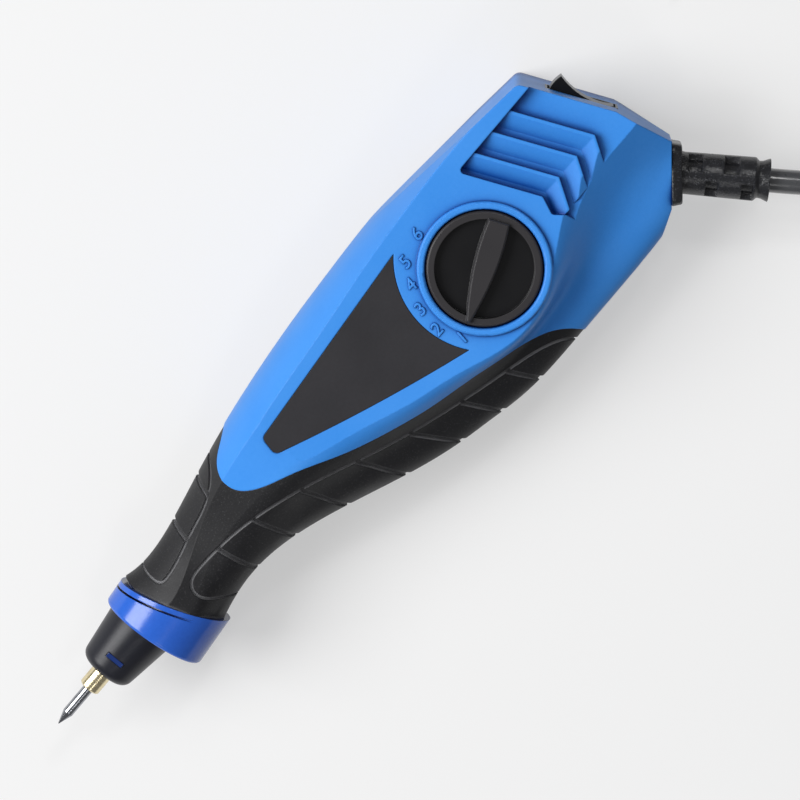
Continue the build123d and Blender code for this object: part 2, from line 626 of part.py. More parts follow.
BEZEL_RADIUS = DIAL_RADIUS + DIAL_GAP + DIAL_BEZEL_WIDTH
with BuildPart() as dial_bezel:
    upright(0, 0, BODY_DEPTH - WALL/4, BODY_DEPTH + DIAL_BEZEL_HEIGHT, BEZEL_RADIUS)
    upright(0, 0, BODY_DEPTH - WALL, BODY_DEPTH + WALL, DIAL_RADIUS + DIAL_GAP, mode=Mode.SUBTRACT)
    fillet(dial_bezel.faces().sort_by(Axis.Z)[-1].edges(), radius=DIAL_BEZEL_WIDTH/3)

# What stands inside the dial-side shell: screw bosses, core ribs and the floor of the dial's well
with BuildPart() as dial_side_inside:
    uprights(HOUSING_SCREWS, MID_Z, BODY_DEPTH - WALL/2, BOSS_RADIUS)
    for x in (CORE_FRONT_X, CORE_REAR_X - CORE_RIB):
        block(x, x + CORE_RIB, PAD_BELLY_Y, PAD_BELLY_Y + PAD_WIDTH, CORE_TOP + PAD_THICKNESS,
              BODY_DEPTH - WALL/2)
    upright(0, 0, WELL_UNDER_Z, BODY_DEPTH - WALL/2, BEZEL_RADIUS)
    add(rubber_seat, mode=Mode.INTERSECT)

with BuildPart() as dial_side_cuts:
    add(louvre_recess.part)
    add(louvre_ribs.part, mode=Mode.SUBTRACT)
    upright(0, 0, WELL_FLOOR_Z, BODY_DEPTH + WALL, DIAL_RADIUS + DIAL_GAP)
    upright(0, 0, WELL_UNDER_Z - WALL, WELL_FLOOR_Z, STEM_RADIUS + RUNNING_CLEARANCE)
    with BuildSketch(Plane.XY.offset(plate_under_z)) as plate_seat:
        add(plate_outline.sketch)
    extrude(plate_seat.sketch, amount=WALL)
    add(switch_cutout.part)
    add(outlet_cutout.part)
    uprights(HOUSING_SCREWS, MID_Z - WALL, SCREW_TOP_Z + SCREW_HOLE_GAP, SCREW_RADIUS)
    uprights(clamp_screws_at, MID_Z, CLAMP_HEAD_TOP_Z + DIAL_GAP, CLAMP_SCREW_HEAD + DIAL_GAP)
    with BuildSketch(CLAMP_PLANE) as clamp_pocket:
        SlotOverall(2*(CLAMP_SCREW_OFFSET + POST_RADIUS + DIAL_GAP), CLAMP_WIDTH + 2*DIAL_GAP)
    extrude(clamp_pocket.sketch, amount=CLAMP_TOP_Z + DIAL_GAP - MID_Z)

with BuildPart() as dial_side_shell:
    add(hull.part)
    add([dial_side_inside.part, dial_bezel.part])
    add(dial_side_cuts.part, mode=Mode.SUBTRACT)
dial_side_shell.part.label = "dial_side_shell"
export_step(dial_side_shell.part, "parts/dial_side_shell.step")

# What stands inside the rest-side shell: screw bosses, core ribs and the cord's saddle with its screw posts
with BuildPart() as rest_side_inside:
    uprights(HOUSING_SCREWS, WALL/2, MID_Z, BOSS_RADIUS)
    for x in (CORE_FRONT_X, CORE_REAR_X - CORE_RIB):
        for y in (PAD_BELLY_Y, PAD_FINGER_Y):
            block(x, x + CORE_RIB, y, y + PAD_WIDTH, WALL/2, CORE_BOTTOM - PAD_THICKNESS)
    uprights(clamp_screws_at, WALL/2, CORD_TOP_Z - TRIM_CLEARANCE, POST_RADIUS)
    with BuildSketch(CLAMP_PLANE.offset(WALL/2 - MID_Z)) as web:
        Rectangle(2*CLAMP_SCREW_OFFSET, CLAMP_WIDTH - 1)
    extrude(web.sketch, amount=MID_Z - WALL/2)
    add(rubber_seat, mode=Mode.INTERSECT)

with BuildPart() as rest_side_cuts:
    with BuildSketch(OUTLET.offset(-2*WALL)) as jacket:
        Circle(CORD_DIAMETER/2)
    extrude(jacket.sketch, amount=-INNER_CORD_LENGTH)
    add(switch_cutout.part)
    add(outlet_cutout.part)
    uprights(HOUSING_SCREWS, -WALL, SCREW_SEAT_Z, SCREW_HEAD_RADIUS + SCREW_HOLE_GAP)
    uprights(HOUSING_SCREWS, SCREW_SEAT_Z, MID_Z + WALL, SCREW_RADIUS + SCREW_HOLE_GAP)
    uprights(clamp_screws_at, CORD_TOP_Z - CLAMP_SCREW_DEPTH, CORD_TOP_Z + WALL, CLAMP_SCREW_RADIUS)

with BuildPart() as rest_side_shell:
    add(mirror(hull.part, about=PARTING, mode=Mode.PRIVATE))
    add(rest_side_inside.part)
    add(rest_side_cuts.part, mode=Mode.SUBTRACT)
rest_side_shell.part.label = "rest_side_shell"
export_step(rest_side_shell.part, "parts/rest_side_shell.step")

with BuildPart() as dial_side_grip:
    add(rubber.part)
    split(bisect_by=PARTING, keep=Keep.TOP)
dial_side_grip.part.label = "dial_side_grip"
export_step(dial_side_grip.part, "parts/dial_side_grip.step")

with BuildPart() as rest_side_grip:
    add(rubber.part)
    split(bisect_by=PARTING, keep=Keep.BOTTOM)
    uprights(HOUSING_SCREWS, -WALL, MID_Z - WALL, SCREW_HEAD_RADIUS + 2*SCREW_HOLE_GAP, mode=Mode.SUBTRACT)
rest_side_grip.part.label = "rest_side_grip"
export_step(rest_side_grip.part, "parts/rest_side_grip.step")

with BuildPart() as housing_screws:
    uprights(HOUSING_SCREWS, SCREW_SEAT_Z, SCREW_TOP_Z, SCREW_RADIUS)
    uprights(HOUSING_SCREWS, SCREW_HEAD_Z, SCREW_SEAT_Z, SCREW_HEAD_RADIUS)
    for x, y in HOUSING_SCREWS:
        block(x - SCREW_HEAD_RADIUS, x + SCREW_HEAD_RADIUS, y - SCREW_SLOT/2, y + SCREW_SLOT/2, SCREW_HEAD_Z,
              SCREW_HEAD_Z + SCREW_SLOT_DEPTH, mode=Mode.SUBTRACT)
housing_screws.part.label = "housing_screws"
export_step(housing_screws.part, "parts/housing_screws.step")

# Collar: a tilted oval ring with a front wall, a groove near its rear edge and a sleeve for the nosecone
with BuildPart() as nose_collar:
    with BuildSketch(COLLAR_FRONT):
        Ellipse(COLLAR_HALF_WIDTH, COLLAR_HALF_DEPTH)
    extrude(amount=COLLAR_REACH)
    split(bisect_by=COLLAR_REAR, keep=Keep.BOTTOM)
    fillet(nose_collar.edges().sort_by(Axis.X)[0], radius=0.9)
    with BuildSketch(COLLAR_REAR.offset(-COLLAR_GROOVE_FROM_REAR)) as groove:
        Circle(2*COLLAR_HALF_WIDTH)
        Ellipse((COLLAR_HALF_WIDTH - COLLAR_GROOVE)/math.cos(rear_lean - front_lean),
                COLLAR_HALF_DEPTH - COLLAR_GROOVE, mode=Mode.SUBTRACT)
    extrude(groove.sketch, amount=-COLLAR_GROOVE, mode=Mode.SUBTRACT)
    with BuildSketch(COLLAR_FRONT.offset(COLLAR_WALL)) as bore:
        Ellipse(COLLAR_HALF_WIDTH - COLLAR_WALL, COLLAR_HALF_DEPTH - COLLAR_WALL)
    extrude(bore.sketch, amount=COLLAR_REACH, mode=Mode.SUBTRACT)
    nose_bar(COLLAR_FACE_X, COLLAR_FRONT_X - SLEEVE_LENGTH, SLEEVE_RADIUS)
    for side in (-1, 1):
        block(WINDOW_X - WINDOW_WIDTH/2 + TRIM_CLEARANCE, WINDOW_X + WINDOW_WIDTH/2 - TRIM_CLEARANCE,
              NOSE_Y - WINDOW_LENGTH/2 + TRIM_CLEARANCE, NOSE_Y + WINDOW_LENGTH/2 - TRIM_CLEARANCE,
              MID_Z + side*SLEEVE_RADIUS - 0.9, MID_Z + side*SLEEVE_RADIUS + 0.9)
    nose_bar(COLLAR_FACE_X, COLLAR_FACE_X + WALL, NOSE_BUSH_FLANGE, mode=Mode.SUBTRACT)
    nose_bar(COLLAR_FRONT_X - SLEEVE_LENGTH, COLLAR_FACE_X, NOSE_BUSH_RADIUS, mode=Mode.SUBTRACT)
nose_collar.part.label = "nose_collar"
export_step(nose_collar.part, "parts/nose_collar.step")

NOSE_AXIS = Axis((0, NOSE_Y, MID_Z), (1, 0, 0))
cone_bore = SLEEVE_RADIUS + TRIM_CLEARANCE
with BuildPart() as nosecone:
    with BuildSketch(Plane(origin=(0, NOSE_Y, MID_Z), x_dir=(1, 0, 0), z_dir=(0, 0, 1))):
        with BuildLine():
            Polyline((CONE_FRONT_X, CHUCK_RADIUS + CONE_HOLE_GAP), (CONE_FRONT_X, CONE_SMALL_RADIUS - 0.9),
                     (COLLAR_FACE_X, CONE_BIG_RADIUS), (COLLAR_FACE_X, cone_bore),
                     (CONE_FRONT_X + CONE_WALL, cone_bore),
                     (CONE_FRONT_X + CONE_WALL, CHUCK_RADIUS + CONE_HOLE_GAP), close=True)
        cone_section = make_face()
        fillet(cone_section.vertices().sort_by(Axis.X)[0:2].sort_by(Axis.Y)[-1], radius=CONE_NOSE_ROUND)
    revolve(axis=NOSE_AXIS)
    split(bisect_by=COLLAR_FRONT, keep=Keep.BOTTOM)
    block(WINDOW_X - WINDOW_WIDTH/2, WINDOW_X + WINDOW_WIDTH/2, NOSE_Y - WINDOW_LENGTH/2,
          NOSE_Y + WINDOW_LENGTH/2, MID_Z - 2*CONE_BIG_RADIUS, MID_Z + 2*CONE_BIG_RADIUS, mode=Mode.SUBTRACT)
nosecone.part.label = "nosecone"
export_step(nosecone.part, "parts/nosecone.step")

with BuildPart() as nose_bush:
    nose_bar(COLLAR_FRONT_X - SLEEVE_LENGTH, COLLAR_FACE_X, NOSE_BUSH_RADIUS)
    nose_bar(COLLAR_FACE_X, COLLAR_FACE_X + NOSE_BUSH_FLANGE_THICKNESS, NOSE_BUSH_FLANGE)
    nose_bar(COLLAR_FRONT_X - 2*SLEEVE_LENGTH, COLLAR_FACE_X + WALL, PLUNGER_RADIUS + RUNNING_CLEARANCE,
             mode=Mode.SUBTRACT)
    nose_bar(COLLAR_FRONT_X - SLEEVE_LENGTH, CHUCK_REAR_X + STROKE + 3*DIAL_GAP, CHUCK_RADIUS + CONE_HOLE_GAP,
             mode=Mode.SUBTRACT)
nose_bush.part.label = "nose_bush"
export_step(nose_bush.part, "parts/nose_bush.step")

with BuildPart() as guide_bush:
    nose_bar(GUIDE_FRONT_X - GUIDE_BUSH_FLANGE_THICKNESS, GUIDE_REAR_X + GUIDE_BUSH_FLANGE_THICKNESS,
             GUIDE_BUSH_RADIUS)
    for x in (GUIDE_FRONT_X - GUIDE_BUSH_FLANGE_THICKNESS, GUIDE_REAR_X):
        nose_bar(x, x + GUIDE_BUSH_FLANGE_THICKNESS, GUIDE_BUSH_FLANGE)
    nose_bar(GUIDE_FRONT_X - WALL, GUIDE_REAR_X + WALL, PLUNGER_RADIUS + RUNNING_CLEARANCE, mode=Mode.SUBTRACT)
guide_bush.part.label = "guide_bush"
export_step(guide_bush.part, "parts/guide_bush.step")

# Striker: tip, chuck, plunger, spring clip, armature and its nut move as one
with BuildPart() as engraving_tip:
    with BuildSketch(Plane(origin=(0, NOSE_Y, MID_Z), x_dir=(1, 0, 0), z_dir=(0, 0, 1))):
        with BuildLine():
            Polyline((TIP_X, 0), (TIP_X + 0.1, 0.12), (TIP_X + TIP_CONE, TIP_RADIUS),
                     (CHUCK_FRONT_X + TIP_GRIPPED, TIP_RADIUS), (CHUCK_FRONT_X + TIP_GRIPPED, 0), close=True)
        make_face()
    revolve(axis=NOSE_AXIS)
engraving_tip.part.label = "engraving_tip"
export_step(engraving_tip.part, "parts/engraving_tip.step")

with BuildPart() as chuck:
    nose_bar(CHUCK_FRONT_X, CHUCK_REAR_X, CHUCK_RADIUS)
    chamfer(chuck.edges().group_by(Axis.X)[0], length=0.35)
    nose_bar(CHUCK_FRONT_X - 1, CHUCK_FRONT_X + TIP_GRIPPED, TIP_RADIUS, mode=Mode.SUBTRACT)
    nose_bar(CHUCK_REAR_X - SPIGOT_LENGTH, CHUCK_REAR_X + 1, SPIGOT_RADIUS, mode=Mode.SUBTRACT)
    upright(CHUCK_SCREW_X, NOSE_Y, MID_Z - 2*CHUCK_RADIUS, MID_Z, CHUCK_SCREW_RADIUS, mode=Mode.SUBTRACT)
chuck.part.label = "chuck"
export_step(chuck.part, "parts/chuck.step")

with BuildPart() as chuck_screw:
    upright(CHUCK_SCREW_X, NOSE_Y, MID_Z - CHUCK_RADIUS + TRIM_CLEARANCE, MID_Z, CHUCK_SCREW_RADIUS)
    nose_bar(CHUCK_FRONT_X - 1, CHUCK_FRONT_X + TIP_GRIPPED, TIP_RADIUS, mode=Mode.SUBTRACT)
chuck_screw.part.label = "chuck_screw"
export_step(chuck_screw.part, "parts/chuck_screw.step")

with BuildPart() as plunger:
    nose_bar(CHUCK_REAR_X - SPIGOT_LENGTH, CHUCK_REAR_X, SPIGOT_RADIUS)
    nose_bar(CHUCK_REAR_X, NUT_FRONT_X, PLUNGER_RADIUS)
    nose_bar(NUT_FRONT_X, ARMATURE_REAR_X, THREAD_RADIUS)
plunger.part.label = "plunger"
export_step(plunger.part, "parts/plunger.step")

with BuildPart() as spring_clip:
    nose_bar(CLIP_X - CLIP_THICKNESS, CLIP_X, CLIP_RADIUS)
    nose_bar(CLIP_X - 2*CLIP_THICKNESS, CLIP_X + CLIP_THICKNESS, PLUNGER_RADIUS, mode=Mode.SUBTRACT)
spring_clip.part.label = "spring_clip"
export_step(spring_clip.part, "parts/spring_clip.step")

spring_from = CLIP_X + SPRING_END_GAP + SPRING_WIRE
spring_to = GUIDE_FRONT_X - GUIDE_BUSH_FLANGE_THICKNESS - SPRING_END_GAP - SPRING_WIRE
with BuildPart() as return_spring:
    with BuildLine():
        coil_line = Helix(pitch=(spring_to - spring_from)/SPRING_TURNS, height=spring_to - spring_from,
                          radius=SPRING_RADIUS, center=(spring_from, NOSE_Y, MID_Z), direction=(1, 0, 0))
    with BuildSketch(Plane(origin=coil_line @ 0, z_dir=coil_line % 0)):
        RegularPolygon(radius=SPRING_WIRE, side_count=6)
    sweep(path=coil_line, is_frenet=True)
return_spring.part.label = "return_spring"
export_step(return_spring.part, "parts/return_spring.step")

with BuildPart() as armature:
    block(ARMATURE_FRONT_X, ARMATURE_REAR_X, NOSE_Y - ARMATURE_HALF_WIDTH, NOSE_Y + ARMATURE_HALF_WIDTH,
          CORE_BOTTOM, CORE_TOP)
    chamfer(armature.edges().filter_by(Axis.X), length=ARMATURE_CORNER)
    block(ARMATURE_FRONT_X, ARMATURE_REAR_X, STOP_INNER_Y, STOP_INNER_Y + STOP_WIDTH,
          CORE_TOP - ARMATURE_CORNER, STOP_TOP)
    nose_bar(ARMATURE_FRONT_X - 1, ARMATURE_REAR_X + 1, THREAD_RADIUS, mode=Mode.SUBTRACT)
armature.part.label = "armature"
export_step(armature.part, "parts/armature.step")

with BuildPart() as armature_nut:
    with BuildSketch(nose_plane(NUT_FRONT_X)):
        RegularPolygon(radius=NUT_FLATS/2, side_count=6, major_radius=False)
        Circle(THREAD_RADIUS, mode=Mode.SUBTRACT)
    extrude(amount=NUT_THICKNESS)
armature_nut.part.label = "armature_nut"
export_step(armature_nut.part, "parts/armature_nut.step")

# Electromagnet: an E-shaped laminated core with the winding on its middle leg
with BuildPart() as core:
    block(CORE_FRONT_X, CORE_REAR_X, NOSE_Y - CORE_HALF_WIDTH, NOSE_Y + CORE_HALF_WIDTH, CORE_BOTTOM, CORE_TOP)
    for y in (NOSE_Y - WINDOW_INNER, NOSE_Y + CORE_LEG/2):
        block(CORE_FRONT_X, CORE_REAR_X - CORE_YOKE, y, y + CORE_WINDOW, CORE_BOTTOM, CORE_TOP, mode=Mode.SUBTRACT)
    chamfer(core.edges().filter_by(Axis.Z).group_by(Axis.X)[-1], length=1.5)
core.part.label = "core"
export_step(core.part, "parts/core.step")

bobbin_front = CORE_FRONT_X + BOBBIN_END_GAP
bobbin_rear = CORE_REAR_X - CORE_YOKE
leg_half_y = CORE_LEG/2
leg_half_z = CORE_HEIGHT/2
with BuildPart() as bobbin:
    with BuildSketch(nose_plane(bobbin_front)) as tube:
        Rectangle(2*(leg_half_y + BOBBIN_WALL), 2*(leg_half_z + BOBBIN_WALL))
        Rectangle(2*leg_half_y, 2*leg_half_z, mode=Mode.SUBTRACT)
    extrude(tube.sketch, amount=bobbin_rear - bobbin_front)
    for x in (bobbin_front, bobbin_rear - BOBBIN_FLANGE):
        with BuildSketch(nose_plane(x)) as cheek:
            RectangleRounded(2*(leg_half_y + BOBBIN_SPREAD), 2*(leg_half_z + BOBBIN_SPREAD), radius=1)
            Rectangle(2*leg_half_y, 2*leg_half_z, mode=Mode.SUBTRACT)
        extrude(cheek.sketch, amount=BOBBIN_FLANGE)
bobbin.part.label = "bobbin"
export_step(bobbin.part, "parts/bobbin.step")

with BuildPart() as winding:
    with BuildSketch(nose_plane(bobbin_front + BOBBIN_FLANGE)):
        RectangleRounded(2*(leg_half_y + BOBBIN_WALL + WINDING_THICKNESS),
                         2*(leg_half_z + BOBBIN_WALL + WINDING_THICKNESS), radius=2.5)
        Rectangle(2*(leg_half_y + BOBBIN_WALL), 2*(leg_half_z + BOBBIN_WALL), mode=Mode.SUBTRACT)
    extrude(amount=bobbin_rear - bobbin_front - 2*BOBBIN_FLANGE)
winding.part.label = "winding"
export_step(winding.part, "parts/winding.step")

with BuildPart() as core_pads:
    for x in (CORE_FRONT_X, CORE_REAR_X - CORE_RIB):
        for y in (PAD_BELLY_Y, PAD_FINGER_Y):
            block(x, x + CORE_RIB, y, y + PAD_WIDTH, CORE_BOTTOM - PAD_THICKNESS, CORE_BOTTOM)
        block(x, x + CORE_RIB, PAD_BELLY_Y, PAD_BELLY_Y + PAD_WIDTH, CORE_TOP, CORE_TOP + PAD_THICKNESS)
core_pads.part.label = "core_pads"
export_step(core_pads.part, "parts/core_pads.step")

# Stroke dial: a dished knob with a leaf-shaped bar, a flatted stem, a cam with a spiral track and their screw
with BuildPart() as dial_knob:
    upright(0, 0, KNOB_UNDER_Z, BODY_DEPTH + DIAL_RIM_TOP, DIAL_RADIUS)
    fillet(dial_knob.edges().group_by(Axis.Z)[-1], radius=0.6)
    upright(0, 0, BODY_DEPTH + DIAL_RIM_TOP - DIAL_DISH_DEPTH, BODY_DEPTH + 2*DIAL_RIM_TOP,
            DIAL_RADIUS - DIAL_RIM_WIDTH, mode=Mode.SUBTRACT)
    pointer = math.radians(DIAL_POINTER_ANGLE)
    bar_plane = Plane(origin=(0, 0, BODY_DEPTH + DIAL_RIM_TOP - DIAL_DISH_DEPTH),
                      x_dir=(math.cos(pointer), math.sin(pointer), 0),
                      z_dir=(0, 0, 1))
    reach = DIAL_RADIUS - DIAL_RIM_WIDTH/3
    with BuildSketch(bar_plane) as leaf:
        with BuildLine():
            Spline((reach, 0.5), (0.3*reach, 0.78*DIAL_BAR_WIDTH/2), (-0.35*reach, DIAL_BAR_WIDTH/2),
                   (-0.9*reach, 0.86*DIAL_BAR_WIDTH/2))
            Line((-0.9*reach, 0.86*DIAL_BAR_WIDTH/2), (-0.9*reach, -0.86*DIAL_BAR_WIDTH/2))
            Spline((-0.9*reach, -0.86*DIAL_BAR_WIDTH/2), (-0.35*reach, -DIAL_BAR_WIDTH/2),
                   (0.3*reach, -0.78*DIAL_BAR_WIDTH/2), (reach, -0.5))
            Line((reach, -0.5), (reach, 0.5))
        make_face()
    extrude(leaf.sketch, amount=DIAL_DISH_DEPTH + DIAL_BAR_TOP)
    chamfer(dial_knob.faces().sort_by(Axis.Z)[-1].edges(), length=0.4)
    upright(0, 0, CAM_TOP_Z, KNOB_UNDER_Z, STEM_RADIUS)
    upright(0, 0, CAM_UNDER_Z, CAM_TOP_Z, STEM_FLAT)
    block(STEM_FLAT - 0.8, 2*STEM_RADIUS, -STEM_RADIUS, STEM_RADIUS, CAM_UNDER_Z, CAM_TOP_Z, mode=Mode.SUBTRACT)
    upright(0, 0, CAM_UNDER_Z, CAM_UNDER_Z + DIAL_SCREW_LENGTH, DIAL_SCREW_RADIUS, mode=Mode.SUBTRACT)
dial_knob.part.label = "dial_knob"
export_step(dial_knob.part, "parts/dial_knob.step")

with BuildPart() as dial_washer:
    upright(0, 0, WELL_FLOOR_Z, KNOB_UNDER_Z, WASHER_RADIUS)
    upright(0, 0, WELL_FLOOR_Z - 1, KNOB_UNDER_Z + 1, STEM_RADIUS + TRIM_CLEARANCE, mode=Mode.SUBTRACT)
dial_washer.part.label = "dial_washer"
export_step(dial_washer.part, "parts/dial_washer.step")

# The track's radius shrinks as the dial turns, so the peg that faces the nose moves to the tail
half_track = CAM_TRACK_WIDTH/2
track_margin = 12.0


def track_point(turned, side):
    """A point on one wall of the spiral track, for the peg's place after this turn of the dial in degrees."""
    radius = CAM_TRACK_RADIUS - CAM_RISE*turned/DIAL_SWEEP + side*half_track
    angle = math.radians(180.0 + turned)
    return (radius*math.cos(angle), radius*math.sin(angle))


track_stops = [-track_margin + (DIAL_SWEEP + 2*track_margin)*i/8 for i in range(9)]
with BuildPart() as dial_cam:
    upright(0, 0, CAM_UNDER_Z, CAM_TOP_Z, CAM_RADIUS)
    with BuildSketch(Plane.XY.offset(CAM_UNDER_Z)) as track:
        with BuildLine():
            Spline(*[track_point(turned, 1) for turned in track_stops])
            Line(track_point(track_stops[-1], 1), track_point(track_stops[-1], -1))
            Spline(*[track_point(turned, -1) for turned in reversed(track_stops)])
            Line(track_point(track_stops[0], -1), track_point(track_stops[0], 1))
        make_face()
    extrude(track.sketch, amount=CAM_TRACK_DEPTH, mode=Mode.SUBTRACT)
    with BuildSketch(Plane.XY.offset(CAM_UNDER_Z)) as keyed_hole:
        Circle(STEM_FLAT)
        with Locations((STEM_FLAT - 0.8 + STEM_RADIUS, 0)):
            Rectangle(2*STEM_RADIUS, 2*STEM_RADIUS, mode=Mode.SUBTRACT)
    extrude(keyed_hole.sketch, amount=CAM_THICKNESS, mode=Mode.SUBTRACT)
dial_cam.part.label = "dial_cam"
export_step(dial_cam.part, "parts/dial_cam.step")

with BuildPart() as dial_screw:
    upright(0, 0, CAM_UNDER_Z, CAM_UNDER_Z + DIAL_SCREW_LENGTH, DIAL_SCREW_RADIUS)
    upright(0, 0, CAM_UNDER_Z - DIAL_SCREW_HEAD_HEIGHT, CAM_UNDER_Z, DIAL_SCREW_HEAD)
    fillet(dial_screw.edges().group_by(Axis.Z)[0], radius=0.6)
    block(-DIAL_SCREW_HEAD, DIAL_SCREW_HEAD, -0.35, 0.35, CAM_UNDER_Z - DIAL_SCREW_HEAD_HEIGHT,
          CAM_UNDER_Z - DIAL_SCREW_HEAD_HEIGHT + 0.8, mode=Mode.SUBTRACT)
dial_screw.part.label = "dial_screw"
export_step(dial_screw.part, "parts/dial_screw.step")

# Stroke stop: a flat slide over the core's outer leg, its arm carries the peg that runs in the cam's track
stop_front = ARMATURE_REAR_X + STOP_GAP
peg_x = -CAM_TRACK_RADIUS
arm_half = STOP_ARM_WIDTH/2
with BuildPart() as stroke_stop:
    block(stop_front, peg_x + arm_half, STOP_INNER_Y, STOP_INNER_Y + STOP_WIDTH, STOP_BOTTOM, STOP_TOP)
    block(peg_x - arm_half, peg_x + arm_half, -arm_half, STOP_INNER_Y + STOP_WIDTH, STOP_BOTTOM, STOP_TOP)
    fillet(stroke_stop.edges().filter_by(Axis.Z).group_by(Axis.Y)[0], radius=2.0)
    upright(peg_x, 0, STOP_TOP, CAM_UNDER_Z + CAM_TRACK_DEPTH - DIAL_GAP, PEG_RADIUS)
stroke_stop.part.label = "stroke_stop"
export_step(stroke_stop.part, "parts/stroke_stop.step")

# Rocker switch in the tail: its own case, a rocker on two pins and two terminals
ROCKER_PLAN = Plane(origin=SWITCH_PLAN.from_local_coords((0, -ROCKER_PIVOT_DEPTH, 0)), x_dir=end_run,
                    z_dir=(0, 0, 1)).rotated((0, 0, -ROCKER_HALF_THROW))
switch_room_half = SWITCH_HALF_HEIGHT - SWITCH_SIDE_WALL
rocker_half_height = switch_room_half - ROCKER_SIDE_GAP

with BuildPart() as switch_housing:
    with BuildSketch(SWITCH_PLAN.offset(-SWITCH_HALF_HEIGHT)) as case:
        with Locations((0, -SWITCH_DEPTH/2)):
            Rectangle(2*SWITCH_HALF_LENGTH, SWITCH_DEPTH)
    extrude(case.sketch, amount=2*SWITCH_HALF_HEIGHT)
    with BuildSketch(SWITCH_PLAN.offset(-switch_room_half)) as case_room:
        with Locations((0, -SWITCH_DEPTH/2 + SWITCH_FLOOR)):
            Rectangle(2*(SWITCH_HALF_LENGTH - SWITCH_WALL), SWITCH_DEPTH)
    extrude(case_room.sketch, amount=2*switch_room_half, mode=Mode.SUBTRACT)
    with BuildSketch(ROCKER_PLAN.offset(-switch_room_half - ROCKER_PIN_LENGTH)) as pin_seats:
        Circle(ROCKER_PIN_RADIUS + RUNNING_CLEARANCE)
    extrude(pin_seats.sketch, amount=2*(switch_room_half + ROCKER_PIN_LENGTH), mode=Mode.SUBTRACT)
switch_housing.part.label = "switch_housing"
export_step(switch_housing.part, "parts/switch_housing.step")


def rocker_point(angle):
    """A point on the rocker's end arcs about its pins, with the angle in degrees from straight out."""
    turn = math.radians(angle)
    return (ROCKER_END_RADIUS*math.sin(turn), ROCKER_END_RADIUS*math.cos(turn))


with BuildPart() as rocker:
    with BuildSketch(ROCKER_PLAN.offset(-rocker_half_height)) as rocker_side:
        with BuildLine():
            ThreePointArc(rocker_point(-ROCKER_TOP_ANGLE), (0, ROCKER_PIVOT_DEPTH + ROCKER_DIP),
                          rocker_point(ROCKER_TOP_ANGLE))
            ThreePointArc(rocker_point(ROCKER_TOP_ANGLE), rocker_point(78), rocker_point(95))
            Polyline(rocker_point(95), (ROCKER_FOOT, -ROCKER_DEPTH), (-ROCKER_FOOT, -ROCKER_DEPTH),
                     rocker_point(-95))
            ThreePointArc(rocker_point(-95), rocker_point(-78), rocker_point(-ROCKER_TOP_ANGLE))
        make_face()
    extrude(rocker_side.sketch, amount=2*rocker_half_height)
    pin_half_span = switch_room_half + ROCKER_PIN_LENGTH - TRIM_CLEARANCE
    with BuildSketch(ROCKER_PLAN.offset(-pin_half_span)) as pins:
        Circle(ROCKER_PIN_RADIUS)
    extrude(pins.sketch, amount=2*pin_half_span)
rocker.part.label = "rocker"
export_step(rocker.part, "parts/rocker.step")

with BuildPart() as switch_terminals:
    for side in (-1, 1):
        with BuildSketch(SWITCH_PLAN.offset(-TERMINAL_WIDTH/2)) as blade:
            with Locations((side*TERMINAL_SPACING/2, -SWITCH_DEPTH - TERMINAL_LENGTH/2)):
                Rectangle(TERMINAL_THICKNESS, TERMINAL_LENGTH)
        extrude(blade.sketch, amount=TERMINAL_WIDTH)
switch_terminals.part.label = "switch_terminals"
export_step(switch_terminals.part, "parts/switch_terminals.step")

# Strain relief: outer flange on the slanted corner, neck and inner flange, and a slotted boot along the cord
flange_face = OUTLET.from_local_coords((0, 0, RELIEF_FLANGE_THICKNESS))
boot_length = (mouth - flange_face).length
BOOT = Plane(origin=flange_face, z_dir=mouth - flange_face)
with BuildPart() as strain_relief:
    with BuildSketch(OUTLET) as flange:
        RectangleRounded(RELIEF_FLANGE_WIDTH, RELIEF_FLANGE_HEIGHT, radius=2.2)
    extrude(flange.sketch, amount=RELIEF_FLANGE_THICKNESS, taper=10)
    with BuildSketch(OUTLET.offset(-WALL)) as neck:
        Circle(RELIEF_NECK_RADIUS - TRIM_CLEARANCE)
    extrude(neck.sketch, amount=WALL)
    with BuildSketch(OUTLET.offset(-WALL)) as inner_flange:
        Circle(RELIEF_INNER_FLANGE_RADIUS)
    extrude(inner_flange.sketch, amount=-RELIEF_INNER_FLANGE_THICKNESS)
    with BuildSketch(BOOT.offset(-1.0)) as boot_body:
        Circle(BOOT_RADIUS)
    extrude(boot_body.sketch, amount=boot_length + 1.0 - BOOT_END_RING - BOOT_WAIST)
    with BuildSketch(BOOT.offset(-1.0)) as boot_waist:
        Circle(BOOT_WAIST_RADIUS)
    extrude(boot_waist.sketch, amount=boot_length + 1.0)
    with BuildSketch(BOOT.offset(boot_length - BOOT_END_RING)) as end_ring:
        Circle(BOOT_RADIUS - 0.1)
    extrude(end_ring.sketch, amount=BOOT_END_RING)
    for i in range(4):
        side = 1 if i % 2 == 0 else -1
        with BuildSketch(BOOT.offset(BOOT_FIRST_SLOT + BOOT_SLOT_PITCH/2*i)) as slot:
            Circle(2*BOOT_RADIUS)
            Circle(BOOT_CORE_RADIUS, mode=Mode.SUBTRACT)
            with Locations((0, -side*2*BOOT_RADIUS)):
                Rectangle(4*BOOT_RADIUS, 4*BOOT_RADIUS + BOOT_SLOT_WEB, mode=Mode.SUBTRACT)
        extrude(slot.sketch, amount=BOOT_SLOT, mode=Mode.SUBTRACT)
strain_relief.part.label = "strain_relief"
export_step(strain_relief.part, "parts/strain_relief.step")

